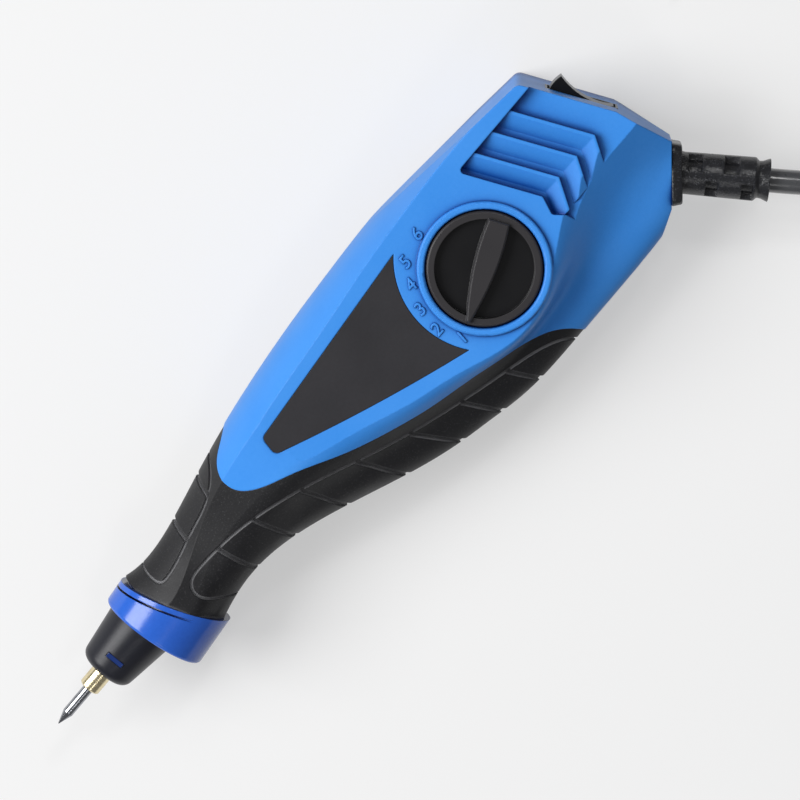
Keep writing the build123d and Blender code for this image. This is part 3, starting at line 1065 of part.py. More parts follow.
# Cord inside the housing, its clamp and the leads to the switch and the winding
inner_cord_start = -WALL - RELIEF_INNER_FLANGE_THICKNESS
with BuildPart() as inner_cord:
    with BuildSketch(OUTLET.offset(inner_cord_start)):
        Circle(CORD_DIAMETER/2)
    extrude(amount=-INNER_CORD_LENGTH)
inner_cord.part.label = "inner_cord"
export_step(inner_cord.part, "parts/inner_cord.step")

with BuildPart() as cord_clamp:
    with BuildSketch(CLAMP_PLANE.offset(CORD_DIAMETER/2)) as clamp_bar:
        SlotOverall(2*(CLAMP_SCREW_OFFSET + POST_RADIUS), CLAMP_WIDTH)
    extrude(clamp_bar.sketch, amount=CLAMP_THICKNESS)
    uprights(clamp_screws_at, CORD_TOP_Z - CLAMP_THICKNESS, CORD_TOP_Z + 2*CLAMP_THICKNESS,
             CLAMP_SCREW_RADIUS + TRIM_CLEARANCE, mode=Mode.SUBTRACT)
cord_clamp.part.label = "cord_clamp"
export_step(cord_clamp.part, "parts/cord_clamp.step")

with BuildPart() as clamp_screws:
    uprights(clamp_screws_at, CORD_TOP_Z - CLAMP_SCREW_DEPTH, CLAMP_TOP_Z, CLAMP_SCREW_RADIUS)
    uprights(clamp_screws_at, CLAMP_TOP_Z, CLAMP_HEAD_TOP_Z, CLAMP_SCREW_HEAD)
clamp_screws.part.label = "clamp_screws"
export_step(clamp_screws.part, "parts/clamp_screws.step")

# Three leads: cord to switch, cord to winding and switch to winding, under the core to the bobbin's rear cheek
jacket_end = inner_cord_start - INNER_CORD_LENGTH
into = OUTLET.z_dir*-1
tab_face = TERMINAL_SPACING/2 + TERMINAL_THICKNESS/2
tab_back = -SWITCH_DEPTH - 0.75*TERMINAL_LENGTH
cord_side = OUTLET.from_local_coords((LEAD_OFFSET, 0, jacket_end))
short_bend = cord_side + into*LEAD_BEND
near_tab = SWITCH_PLAN.from_local_coords((tab_face, SWITCH_PLAN.to_local_coords(short_bend).Y, 0))
far_tab = SWITCH_PLAN.from_local_coords((-tab_face, tab_back, 0))
winding_side = OUTLET.from_local_coords((-LEAD_OFFSET, 0, jacket_end))
lead_z = CORE_BOTTOM - LEAD_UNDER_CORE
lead_y = [NOSE_Y - LEAD_BESIDE_NOSE_LINE, NOSE_Y + LEAD_BESIDE_NOSE_LINE]
lead_routes = [
    [cord_side, short_bend, near_tab],
    [winding_side, winding_side + into*4.0, (18.0, -3.0, 10.0), (-10.0, lead_y[0], lead_z),
     (bobbin_rear, lead_y[0], lead_z)],
    [far_tab, far_tab - SWITCH_PLAN.x_dir*3.5, (17.0, 9.5, 10.5), (-10.0, lead_y[1], lead_z),
     (bobbin_rear, lead_y[1], lead_z)],
]
with BuildPart() as lead_wires:
    for route in lead_routes:
        with BuildLine() as lead_line:
            FilletPolyline(*route, radius=LEAD_BEND)
        with BuildSketch(Plane(origin=lead_line.wire() @ 0, z_dir=lead_line.wire() % 0)) as lead_section:
            Circle(LEAD_RADIUS)
        sweep(lead_section.sketch, path=lead_line.wire())
lead_wires.part.label = "lead_wires"
export_step(lead_wires.part, "parts/lead_wires.step")

# Cord outside: straight runs joined by arcs as large as the runs allow
runs = [Vector(*b) - Vector(*a) for a, b in zip(CORD_ROUTE, CORD_ROUTE[1:])]
bend_radii = []
for before, after in zip(runs, runs[1:]):
    half_turn = math.radians(before.get_angle(after))/2
    bend_radii.append(CORD_BEND_SHARE*min(before.length, after.length)/math.tan(half_turn))
print("cord bend radii", [round(radius, 1) for radius in bend_radii])

with BuildPart() as cord:
    with BuildLine():
        cord_line = FilletPolyline(*CORD_ROUTE, radius=bend_radii)
    with BuildSketch(Plane(origin=cord_line @ 0, z_dir=cord_line % 0)):
        Circle(CORD_DIAMETER/2)
    sweep(path=cord_line)
cord.part.label = "cord"
export_step(cord.part, "parts/cord.step")

cord_section = math.pi*CORD_DIAMETER**2/4
print("cord volume", round(cord.part.volume, 2), "section x length", round(cord_section*cord_line.length, 2))

# Put-away coil: half turns spiral in on the table, climb one layer where they turn back, and spiral out again
heading = runs[-1].normalized()
inward = Vector(-heading.Y, heading.X, 0)
with BuildLine() as coil_path:
    place = Vector(*CORD_ROUTE[-1])
    Line(place, place + heading*COIL_START_RUN)
    place += heading*COIL_START_RUN
    for i in range(COIL_HALF_TURNS_IN):
        radius = COIL_OUTER_RADIUS - COIL_TURN_PITCH/2*i
        ThreePointArc(place, place + (inward + heading)*radius, place + inward*2*radius)
        place += inward*2*radius
        heading, inward = heading*-1, inward*-1
    radius = COIL_OUTER_RADIUS - COIL_TURN_PITCH/2*COIL_HALF_TURNS_IN
    rise = Vector(0, 0, COIL_LAYER_PITCH)
    halfway = place + inward*radius + heading*math.hypot(radius, COIL_LAYER_PITCH/2) + rise/2
    chord = (halfway - place).normalized()
    TangentArc(place, halfway, tangent=heading)
    TangentArc(halfway, place + inward*2*radius + rise, tangent=chord*2*heading.dot(chord) - heading)
    place += inward*2*radius + rise
    heading, inward = heading*-1, inward*-1
    for i in range(COIL_HALF_TURNS_OUT):
        radius = COIL_OUTER_RADIUS - COIL_TURN_PITCH/2*(COIL_HALF_TURNS_IN - 1 - i)
        ThreePointArc(place, place + (inward + heading)*radius, place + inward*2*radius)
        place += inward*2*radius
        heading, inward = heading*-1, inward*-1
    Line(place, place + heading*COIL_END_RUN)
    place += heading*COIL_END_RUN
coil_wire = coil_path.wire()

with BuildPart() as cord_coil:
    with BuildSketch(Plane(origin=coil_wire @ 0, z_dir=coil_wire % 0)):
        Circle(CORD_DIAMETER/2)
    sweep(path=coil_wire)
cord_coil.part.label = "cord_coil"
export_step(cord_coil.part, "parts/cord_coil.step")

print("coil length", round(coil_wire.length, 1), "volume", round(cord_coil.part.volume, 1), "section x length",
      round(cord_section*coil_wire.length, 1))
samples = int(coil_wire.length/2)
spots = [tuple(coil_wire @ (i/samples)) for i in range(samples + 1)]
apart = int(3*CORD_DIAMETER/2)
least = min(math.dist(a, b) for i, a in enumerate(spots) for b in spots[i + apart:])
print("coil's least gap to itself", round(least - CORD_DIAMETER, 2))

# Plug at the coil's end, lying on its side beside it
PLUG = Plane(origin=place, x_dir=(-heading.Y, heading.X, 0), z_dir=heading)
with BuildPart() as plug_body:
    with BuildSketch(PLUG):
        Circle(PLUG_NECK_RADIUS)
    with BuildSketch(PLUG.offset(PLUG_NECK_LENGTH)):
        Circle(PLUG_NECK_RADIUS + PLUG_NECK_FLARE)
    loft()
    with BuildSketch(PLUG.offset(PLUG_NECK_LENGTH - PLUG_NECK_FLARE)):
        RectangleRounded(2*PLUG_SHOULDER_SHARE*PLUG_HALF_WIDTH, 2*PLUG_SHOULDER_SHARE*PLUG_HALF_HEIGHT,
                         radius=PLUG_SHOULDER_ROUND)
    with BuildSketch(PLUG.offset(PLUG_LENGTH - PLUG_RIM)) as plug_rim:
        RectangleRounded(2*PLUG_HALF_WIDTH, 2*PLUG_HALF_HEIGHT, radius=PLUG_ROUND)
    loft()
    extrude(plug_rim.sketch, amount=PLUG_RIM)
plug_body.part.label = "plug_body"
export_step(plug_body.part, "parts/plug_body.step")

with BuildPart() as plug_blades:
    with BuildSketch(PLUG.offset(PLUG_LENGTH)):
        with GridLocations(BLADE_SPACING, 0, 2, 1):
            Rectangle(BLADE_THICKNESS, BLADE_WIDTH)
    extrude(amount=BLADE_LENGTH)
plug_blades.part.label = "plug_blades"
export_step(plug_blades.part, "parts/plug_blades.step")
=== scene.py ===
"""Looks of the electric engraving pen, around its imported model.

Metres, in the model's frame: the flat back lies on z = 0 under the dial's axis, +X runs to the tail,
+Y is the finger side, -Y the belly, and +Z comes out of the dial face.
"""
import json
import math

import bmesh
import bpy
from mathutils import Matrix, Vector


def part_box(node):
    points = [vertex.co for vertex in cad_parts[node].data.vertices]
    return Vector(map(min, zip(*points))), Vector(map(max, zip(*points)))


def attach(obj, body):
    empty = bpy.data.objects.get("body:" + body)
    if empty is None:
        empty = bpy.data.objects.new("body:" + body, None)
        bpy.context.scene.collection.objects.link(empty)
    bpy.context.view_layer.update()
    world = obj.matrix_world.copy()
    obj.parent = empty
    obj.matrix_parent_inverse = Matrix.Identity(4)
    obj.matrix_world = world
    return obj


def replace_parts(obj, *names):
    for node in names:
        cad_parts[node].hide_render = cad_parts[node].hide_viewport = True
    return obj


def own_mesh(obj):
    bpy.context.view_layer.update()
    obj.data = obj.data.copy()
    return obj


MM = 0.001
UP = Vector((0, 0, 1))
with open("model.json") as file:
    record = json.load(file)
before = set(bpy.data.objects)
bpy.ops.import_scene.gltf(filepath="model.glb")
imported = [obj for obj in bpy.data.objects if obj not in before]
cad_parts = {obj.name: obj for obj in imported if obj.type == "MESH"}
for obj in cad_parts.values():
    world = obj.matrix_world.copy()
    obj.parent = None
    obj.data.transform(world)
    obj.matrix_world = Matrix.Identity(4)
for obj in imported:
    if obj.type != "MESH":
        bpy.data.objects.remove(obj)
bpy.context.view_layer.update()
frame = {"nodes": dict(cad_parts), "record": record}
nodes = frame["nodes"]

# Camera, as the photograph looks at the pen: its tilt from the dial's axis, its heading and its roll
VIEW_TILT = math.radians(9.0)
VIEW_HEADING = math.radians(30.0)
VIEW_ROLL = math.radians(49.6)
VIEW_AIM = Vector((-38.244, -6.198, 18.0))*MM
VIEW_DISTANCE = 1.0521
LENS = 202.5
SENSOR = 36.0
CLIP_NEAR, CLIP_FAR = 0.05, 20

# Studio: a floor just under the flat back, a pale sky, and each lamp's place, side and power
FLOOR_HALF_WIDTH = 3.0
FLOOR_DROP = 0.2*MM
SKY_COLOUR = (0.96, 0.965, 0.975, 1)
SKY_STRENGTH = 0.22
LAMP_AIM = Vector((-0.03, 0, 0.02))
LAMPS = {"lamp_key": ((-0.8, 1.2, 1.36), 1.15, 39.0), "lamp_cord": ((0.82, 0.37, 1.24), 0.2, 2.6),
         "lamp_nose": ((-0.59, -0.49, 1.18), 0.22, 1.0)}

# Cord: its route from the boot to the coil, and the turns of the coil it is put away in, in millimetres
CORD_DIAMETER = 5.7*MM
CORD_ROUTE = [(56.4, -38.4, 18.0), (65.9, -51.9, 18.0), (76.5, -65.0, 9.0), (92.0, -71.3, 2.95),
              (115.0, -69.8, 2.95), (144.0, -69.8, 2.95)]
COIL_OUTER_RADIUS = 42.0
COIL_STEP = 3.15
COIL_RISE = 6.3
COIL_START_RUN = 5.7
COIL_END_RUN = 12.0
HALF_TURNS_IN = 6
HALF_TURNS_OUT = 6
POINTS_PER_HALF_TURN = 6

# Dial and the face round it
FACE_Z = 36.0*MM
DIAL_RADIUS = 13.4*MM
DIAL_FLOOR_Z = 35.0*MM
DIAL_RIM_Z = 37.0*MM

# The collar's latches stand in the nosecone's windows, forward of this distance from the dial's axis
LATCH_X = 119.0*MM

# Numbers embossed round the dial: each one's centre on the face, in millimetres
NUMBERS = {"1": (-15.6, -6.4), "2": (-17.9, -0.8), "3": (-16.8, 5.1), "4": (-13.9, 10.3), "5": (-10.7, 14.7),
           "6": (-4.0, 16.8)}
NUMBER_SIZE = 4.4*MM
NUMBER_RAISED = 0.25*MM
NUMBER_EDGE = 0.06*MM
NUMBER_SHEAR = 0.15

# Return spring, made at rest: in the pen it gives way by the tip's stroke
SPRING_WIRE_RADIUS = 0.4*MM
SPRING_TURNS = 7
SPRING_POINTS_PER_TURN = 12

# Strain relief, in millimetres: the cord's way out through the tail's corner, with its flange and neck
OUTLET = Vector((43.1, -19.9, 18.0))
OUTLET_SIDE = Vector((0.7549, 0.6559, 0))
OUTLET_OUT = OUTLET_SIDE.cross(UP)
WALL = 3.2
FLANGE_WIDTH = 14.8
FLANGE_HEIGHT = 13.0
FLANGE_THICKNESS = 2.5
FLANGE_CORNER = 2.2
FLANGE_CORNER_STEPS = 6
FLANGE_DRAFT = math.tan(math.radians(10))
NECK_RADIUS = 3.9
NECK_OVERLAP = 0.3
INNER_FLANGE_RADIUS = 5.0
INNER_FLANGE_THICKNESS = 2.0

# The boot round the cord: its radius at distances along it, and its windows, from, to and at which angle
BOOT_CORE_RADIUS = 3.45
BOOT_PROFILE = [(-0.6, 5.1), (0.3, 4.9), (16.9, 5.1), (17.7, 4.3), (18.6, 4.4), (20.3, 5.1)]
BOOT_SLOTS = [(1.2, 4.5, 48), (5.6, 8.4, 132), (9.6, 13.0, 48), (13.9, 16.5, 132)]
BOOT_SLOT_HALF_ANGLE = 33
BOOT_STEPS = 60

# Moulded rubber's edges: creases from this angle on are rounded off, and any left from the next one stay sharp
CREASE_ANGLE = math.radians(35)
SHARP_ANGLE = math.radians(40)
WELD_DISTANCE = 0.01*MM


# ---------------------------------------------------------------- materials

class Channel:
    """A socket of a material's nodes, for sums written in Python."""

    def __init__(self, surface, socket):
        self.surface, self.socket = surface, socket

    def _sum(self, operation, first, second):
        return self.surface.node("Math", {"operation": operation}, {0: first, 1: second})

    def __add__(self, other):
        return self._sum("ADD", self, other)

    def __radd__(self, other):
        return self._sum("ADD", other, self)

    def __sub__(self, other):
        return self._sum("SUBTRACT", self, other)

    def __rsub__(self, other):
        return self._sum("SUBTRACT", other, self)

    def __mul__(self, other):
        return self._sum("MULTIPLY", self, other)

    def __rmul__(self, other):
        return self._sum("MULTIPLY", other, self)


class Surface:
    """A material being built: constants go on the shader's sockets, varying values through channels."""

    SAMPLES = 6         # of the nodes that look round a point
    BAND_WIDTH = 0.3    # of a wave texture at scale 1

    def __init__(self, name, **constants):
        self.material = bpy.data.materials.new(name)
        self.material.use_nodes = True
        self.tree = self.material.node_tree
        self.shader = self.tree.nodes["Principled BSDF"]
        for socket, value in constants.items():
            self.shader.inputs[socket.replace("_", " ")].default_value = value

    def node(self, kind, settings=None, inputs=None, output=0):
        """Any node: its settings first, then values or links for its sockets."""
        made = self.tree.nodes.new("ShaderNode" + kind)
        for name, value in (settings or {}).items():
            setattr(made, name, value)
        for name, value in (inputs or {}).items():
            if isinstance(value, Channel):
                self.tree.links.new(value.socket, made.inputs[name])
            else:
                made.inputs[name].default_value = value
        return Channel(self, made.outputs[output])

    def feed(self, **channels):
        """Links varying values to the shader's sockets."""
        for socket, value in channels.items():
            self.tree.links.new(value.socket, self.shader.inputs[socket.replace("_", " ")])
        return self.material

    def place(self, stretch=(1, 1, 1)):
        """The point on the piece, in its own frame, stretched along each axis."""
        spot = self.node("TexCoord", output="Object")
        return self.node("Mapping", inputs={"Vector": spot, "Scale": stretch})

    def part_of_place(self, axis):
        """The point's own distance along one axis: 0 is X, 1 is Y and 2 is Z."""
        return self.node("SeparateXYZ", inputs={"Vector": self.place()}, output=axis)

    def noise(self, size, detail=2.0, stretch=(1, 1, 1)):
        """Noise from 0 to 1 whose grains are about this size, in metres."""
        return self.node("TexNoise", inputs={"Vector": self.place(stretch), "Scale": 1/size, "Detail": detail})

    def bands(self, axis, profile, width, distortion):
        """Straight bands from 0 to 1, one after the other along an axis, as wide as given, in metres."""
        return self.node("TexWave", {"wave_type": "BANDS", "bands_direction": axis, "wave_profile": profile},
                         {"Vector": self.place(), "Scale": 1/width*self.BAND_WIDTH, "Distortion": distortion})

    def open_sky(self, reach):
        """How open the surface is, from 0 in a recess to 1, to things within this reach, in metres."""
        return self.node("AmbientOcclusion", {"samples": self.SAMPLES}, {"Distance": reach}, output=1)

    def rounded(self, radius):
        """A normal that rounds the edges, in metres."""
        return self.node("Bevel", {"samples": self.SAMPLES}, {"Radius": radius})

    def ramp(self, value, low, high):
        """0 below low, 1 above high, and a straight rise between them."""
        return self.node("MapRange", inputs={"Value": value, "From Min": low, "From Max": high})

    def blend(self, factor, first, second):
        """A colour between two."""
        return self.node("Mix", {"data_type": "RGBA"}, {0: factor, 6: first, 7: second}, output=2)

    def bump(self, height, depth, normal=None):
        """A normal from a height of 0 to 1, to the given depth, in metres."""
        inputs = {"Height": height, "Distance": depth, "Strength": 1.0}
        if normal is not None:
            inputs["Normal"] = normal
        return self.node("Bump", inputs=inputs)

    def speckled(self, grain, depth, edge):
        """The fine grain of a spark-eroded mould, over rounded edges."""
        return self.bump(self.noise(grain, 3.0), depth, self.rounded(edge))


def around(middle, spread, channel):
    """A value that varies with a channel of 0 to 1, evenly about its middle."""
    return channel*spread + (middle - spread/2)


def rgb(red, green, blue):
    """A colour of 0 to 255 as the shader's linear values."""
    def linear(c):
        c /= 255
        return c/12.92 if c <= 0.04045 else ((c + 0.055)/1.055)**2.4
    return (linear(red), linear(green), linear(blue), 1.0)


def moulded(name, dark, light, rough, grain=0.45*MM, depth=0.012*MM, edge=0.25*MM, recess_painted_shade=None, latch_painted_shade=None,
            **constants):
    """Moulded plastic: a spark-eroded grain, faint flow marks, handling shine and softly rounded edges.

    Where they are given, deep is the tone of its recesses, and latch the tone of the latches at the nose.
    """
    s = Surface(name, **constants)
    flow, fleck, shine = s.noise(24*MM, 3.0), s.noise(0.8*MM, 2.0), s.noise(9*MM, 4.0)
    tone = s.blend(s.ramp(flow*0.75 + fleck*0.25, 0.3, 0.7), dark, light)
    # Painted shade: darker where the surface is shut in, in its recesses
    if recess_painted_shade:
        tone = s.blend(s.ramp(s.open_sky(11*MM), 0.5, 1.0), recess_painted_shade, tone)
    if latch_painted_shade:
        tone = s.blend(s.ramp(s.part_of_place(0), -LATCH_X - 1*MM, -LATCH_X), latch_painted_shade, tone)
    return s.feed(Base_Color=tone, Roughness=around(rough, 0.12, shine), Normal=s.speckled(grain, depth, edge))


def rubbery(name, dark, light, rough, grain=0.6*MM, depth=0.03*MM, groove_painted_highlight=None, dust_and_glints=0.25,
            pale=rgb(92, 92, 94), **constants):
    """Soft black rubber: a coarser matt grain, smoother where hands have rubbed it, and pale dusty specks
    in the grain, which on the boot are painted glints.

    Where it is given, the tone of the narrow grooves is a painted highlight, pale for light lines along the tread.
    """
    s = Surface(name, **constants)
    rub = s.ramp(s.noise(13*MM, 4.0), 0.45, 0.75)
    specks = s.ramp(s.noise(0.35*MM, 2.0), 0.58, 0.72)
    tone = s.blend(s.noise(3*MM, 3.0), dark, light)
    # Painted highlight: the narrow grooves turn pale, for light lines along the tread
    if groove_painted_highlight:
        tone = s.blend(s.ramp(s.open_sky(1.1*MM), 0.5, 0.78), groove_painted_highlight, tone)
    # Pale specks in the grain: dusty on most rubber, and painted glints on the boot
    return s.feed(Base_Color=s.blend(specks*dust_and_glints, tone, pale), Roughness=(rough + 0.05) - rub*0.12,
                  Normal=s.speckled(grain, depth, 0.3*MM))


def turned_metal(name, dark, light, tarnish, rough, pitch):
    """Metal turned about the nose line or drawn along it: fine rings, and tarnish in patches."""
    s = Surface(name, Metallic=1.0)
    rings = s.noise(pitch, 2.0, (1, 0.02, 0.02))
    stain = s.ramp(s.noise(2.5*MM, 4.0), 0.5, 0.8)
    return s.feed(Base_Color=s.blend(stain*0.6, s.blend(rings, dark, light), tarnish),
                  Roughness=around(rough, 0.12, rings) + stain*0.1,
                  Normal=s.bump(rings, 0.008*MM, s.rounded(0.12*MM)))


def wound_copper(name):
    """The coil's enamelled wire: turns side by side along the coil's axis, which lies across the nose line."""
    s = Surface(name, Metallic=0.85)
    turns = s.bands("X", "SIN", 0.9*MM, 0.3)
    tint = s.noise(4*MM, 3.0)
    wire = s.blend(tint, rgb(176, 88, 40), rgb(206, 116, 62))
    # Painted shade: the wire darker between the turns, where the round wires meet
    return s.feed(Base_Color=s.blend(turns, rgb(92, 36, 14), wire), Roughness=around(0.33, 0.1, tint),
                  Normal=s.bump(turns, 0.15*MM))


def stacked_steel(name):
    """Punched steel sheets, stacked: a dark line between each two, with a bluish scale."""
    s = Surface(name, Metallic=0.9)
    sheets = s.bands("Z", "SAW", 0.5*MM, 0.0)
    scale = s.noise(6*MM, 4.0)
    tone = s.blend(scale, rgb(74, 78, 88), rgb(128, 130, 136))
    return s.feed(Base_Color=s.blend(s.ramp(sheets, 0.0, 0.25), rgb(30, 30, 32), tone),
                  Roughness=around(0.5, 0.2, scale), Normal=s.bump(sheets, 0.06*MM))


def knob_plastic(name):
    """Black moulded plastic: lighter and more matt on the dial's raised rim and pointer bar, as painted light,
    and darker on the dished floor round them, as painted shade.
    """
    s = Surface(name, Specular_IOR_Level=0.35)
    radius = s.node("VectorMath", {"operation": "LENGTH"}, {0: s.place((1, 1, 0))}, output=1)
    on_dial = 1 - s.ramp(radius, DIAL_RADIUS + 0.05*MM, DIAL_RADIUS + 0.15*MM)
    raised = s.ramp(s.part_of_place(2), DIAL_FLOOR_Z + 0.5*MM, DIAL_RIM_Z - 0.4*MM)*on_dial
    flow, shine = s.noise(16*MM, 3.0), s.noise(7*MM, 4.0)
    # Painted shade on the dished floor, and painted light on the raised rim and pointer bar
    dish_painted_shade = s.blend(flow, rgb(13, 13, 15), rgb(20, 20, 23))
    top_painted_light = s.blend(flow, rgb(44, 43, 46), rgb(54, 52, 54))
    return s.feed(Base_Color=s.blend(raised, dish_painted_shade, top_painted_light), Roughness=around(0.32, 0.1, shine) + raised*0.08,
                  Normal=s.speckled(0.4*MM, 0.007*MM, 0.3*MM))


def make_finishes():
    """Every material of the pen, by its slot in the record, and the boot's, which has no slot of its own."""
    return {
        # The body's and collar's recess tones are painted shade, and so are the collar's darker latches
        "body_plastic": moulded("body_plastic", rgb(56, 144, 236), rgb(70, 153, 242), 0.42, edge=0.5*MM,
                                recess_painted_shade=rgb(6, 66, 150), Specular_IOR_Level=0.3),
        "collar_plastic": moulded("collar_plastic", rgb(36, 92, 198), rgb(48, 108, 216), 0.19, depth=0.003*MM,
                                  recess_painted_shade=rgb(6, 20, 74), latch_painted_shade=rgb(24, 50, 112)),
        # The grip's pale narrow grooves are a painted highlight
        "grip_rubber": rubbery("grip_rubber", rgb(18, 18, 21), rgb(26, 26, 29), 0.5, groove_painted_highlight=rgb(128, 128, 131),
                               Specular_IOR_Level=0.35),
        "nose_plastic": moulded("nose_plastic", rgb(25, 26, 33), rgb(34, 35, 43), 0.36, depth=0.005*MM,
                                Specular_IOR_Level=0.32),
        "label_sheet": moulded("label_sheet", rgb(33, 32, 36), rgb(44, 43, 48), 0.42, grain=0.3*MM,
                               depth=0.01*MM, edge=0.1*MM),
        "black_plastic": knob_plastic("black_plastic"),
        "inner_plastic": moulded("inner_plastic", rgb(150, 148, 140), rgb(180, 176, 166), 0.5),
        "cord_rubber": rubbery("cord_rubber", rgb(64, 65, 68), rgb(76, 77, 80), 0.26, grain=0.35*MM,
                               depth=0.004*MM, Coat_Weight=0.8, Coat_Roughness=0.2),
        # The boot's pale specks are painted glints
        "boot_rubber": rubbery("boot_rubber", rgb(20, 20, 23), rgb(38, 39, 43), 0.24, depth=0.1*MM, dust_and_glints=0.3,
                               pale=rgb(120, 122, 130)),
        "pad_rubber": rubbery("pad_rubber", rgb(26, 26, 28), rgb(38, 38, 40), 0.7, grain=0.5*MM, depth=0.04*MM),
        "bright_steel": turned_metal("bright_steel", rgb(130, 132, 138), rgb(180, 182, 187),
                                     tarnish=rgb(96, 96, 101), rough=0.17, pitch=0.12*MM),
        "lamination_steel": stacked_steel("lamination_steel"),
        "pale_brass": turned_metal("pale_brass", rgb(216, 198, 152), rgb(242, 232, 200),
                                   tarnish=rgb(164, 140, 92), rough=0.24, pitch=0.15*MM),
        "winding_copper": wound_copper("winding_copper"),
    }


finishes = make_finishes()


def dress_nodes():
    """Gives each CAD node the finish of its slot in the record."""
    slots = {part["node"]: part["material_slot"] for part in frame["record"]["subparts"]}
    for name, node in nodes.items():
        node.data.materials.clear()
        node.data.materials.append(finishes[slots[name]])


# ---------------------------------------------------------------- making

def linked(name, data):
    """A new object, in the scene."""
    thing = bpy.data.objects.new(name, data)
    bpy.context.scene.collection.objects.link(thing)
    return thing


def tube(name, points, radius, steps, corners):
    """A smooth round tube along control points, in metres: steps a point, and how finely it is rounded."""
    data = bpy.data.curves.new(name, "CURVE")
    data.dimensions = "3D"
    data.bevel_depth, data.bevel_resolution, data.use_fill_caps = radius, corners, True
    spline = data.splines.new("NURBS")
    spline.points.add(len(points) - 1)
    for point, spot in zip(spline.points, points):
        point.co = (*spot, 1)
    spline.order_u, spline.use_endpoint_u, spline.resolution_u = 3, True, steps
    return linked(name, data)


def mesh_of(thing):
    """The final mesh of an object, with its curve bevels and modifiers, and without the object itself."""
    bpy.context.view_layer.update()
    depsgraph = bpy.context.evaluated_depsgraph_get()
    mesh = bpy.data.meshes.new_from_object(thing.evaluated_get(depsgraph))
    mesh.transform(thing.matrix_world)
    bpy.data.objects.remove(thing)
    return mesh


def lofted(rings):
    """A bmesh of faces between rings of equally many points, with a flat end on each."""
    bm = bmesh.new()
    loops = [[bm.verts.new(point) for point in ring] for ring in rings]
    count = len(loops[0])
    for near, far in zip(loops, loops[1:]):
        for i in range(count):
            bm.faces.new((near[i], near[(i + 1) % count], far[(i + 1) % count], far[i]))
    bm.faces.new(list(reversed(loops[0])))
    bm.faces.new(loops[-1])
    return bm


def softened(name, bm, width, segments=2):
    """The mesh of a bmesh with its creases rounded off."""
    bmesh.ops.recalc_face_normals(bm, faces=bm.faces)
    mesh = bpy.data.meshes.new(name)
    bm.to_mesh(mesh)
    bm.free()
    thing = linked(name, mesh)
    bevel = thing.modifiers.new("rounding", "BEVEL")
    bevel.width, bevel.segments, bevel.angle_limit = width, segments, CREASE_ANGLE
    done = mesh_of(thing)
    for polygon in done.polygons:
        polygon.use_smooth = True
    done.set_sharp_from_angle(angle=SHARP_ANGLE)
    return done


def add_piece(name, mesh, slot, finish=None):
    """Links a mesh as a piece of the housing, with the finish of its slot or with another one."""
    mesh.materials.append(finishes[finish or slot])
    piece = linked(name, mesh)
    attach(piece, "housing")
    return piece


# ---------------------------------------------------------------- camera and light

def make_camera():
    """The camera that sees the pen as the photograph does."""
    back = Vector((math.sin(VIEW_TILT)*math.cos(VIEW_HEADING), math.sin(VIEW_TILT)*math.sin(VIEW_HEADING),
                   math.cos(VIEW_TILT)))
    along = Vector((1, 0, 0))
    along = (along - back*along.dot(back)).normalized()
    across = back.cross(along)
    right = along*math.cos(VIEW_ROLL) - across*math.sin(VIEW_ROLL)
    up = along*math.sin(VIEW_ROLL) + across*math.cos(VIEW_ROLL)
    data = bpy.data.cameras.new("camera")
    data.lens, data.sensor_width = LENS, SENSOR
    data.clip_start, data.clip_end = CLIP_NEAR, CLIP_FAR
    camera = linked("camera", data)
    turn = Matrix((right, up, back)).transposed().to_4x4()
    camera.matrix_world = Matrix.Translation(VIEW_AIM + back*VIEW_DISTANCE) @ turn
    bpy.context.scene.camera = camera


def make_lamp(name, spot, size, power):
    """A soft square lamp that faces the pen."""
    data = bpy.data.lights.new(name, "AREA")
    data.size, data.energy = size, power
    lamp = linked(name, data)
    lamp.location = spot
    lamp.rotation_mode = "QUATERNION"
    lamp.rotation_quaternion = (LAMP_AIM - Vector(spot)).to_track_quat("-Z", "Y")


def make_floor():
    """A floor under the flat back, pale to the eye and in reflections, and dimmer to bounced light."""
    s = Surface("floor_paper", Roughness=0.9, Emission_Strength=1.0)
    seen = (s.node("LightPath", output="Is Camera Ray") + s.node("LightPath", output="Is Glossy Ray")
            + s.node("LightPath", output="Is Transmission Ray"))
    mesh = bpy.data.meshes.new("floor")
    mesh.from_pydata([(x*FLOOR_HALF_WIDTH, y*FLOOR_HALF_WIDTH, 0) for x, y in ((-1, -1), (1, -1), (1, 1), (-1, 1))],
                     [], [(0, 1, 2, 3)])
    mesh.materials.append(s.feed(Base_Color=s.blend(seen, rgb(96, 96, 98), rgb(176, 176, 176)),
                                 Emission_Color=s.blend(seen, rgb(0, 0, 0), rgb(181, 181, 181))))
    floor = linked("floor", mesh)
    floor.location.z = -FLOOR_DROP


def make_studio():
    """The floor, the sky, the lamps and a plain view transform."""
    make_floor()
    world = bpy.data.worlds.new("studio")
    world.use_nodes = True
    sky = world.node_tree.nodes["Background"]
    sky.inputs["Color"].default_value = SKY_COLOUR
    sky.inputs["Strength"].default_value = SKY_STRENGTH
    bpy.context.scene.world = world
    for name, (spot, size, power) in LAMPS.items():
        make_lamp(name, spot, size, power)
    bpy.context.scene.view_settings.view_transform = "Standard"


# ---------------------------------------------------------------- cord

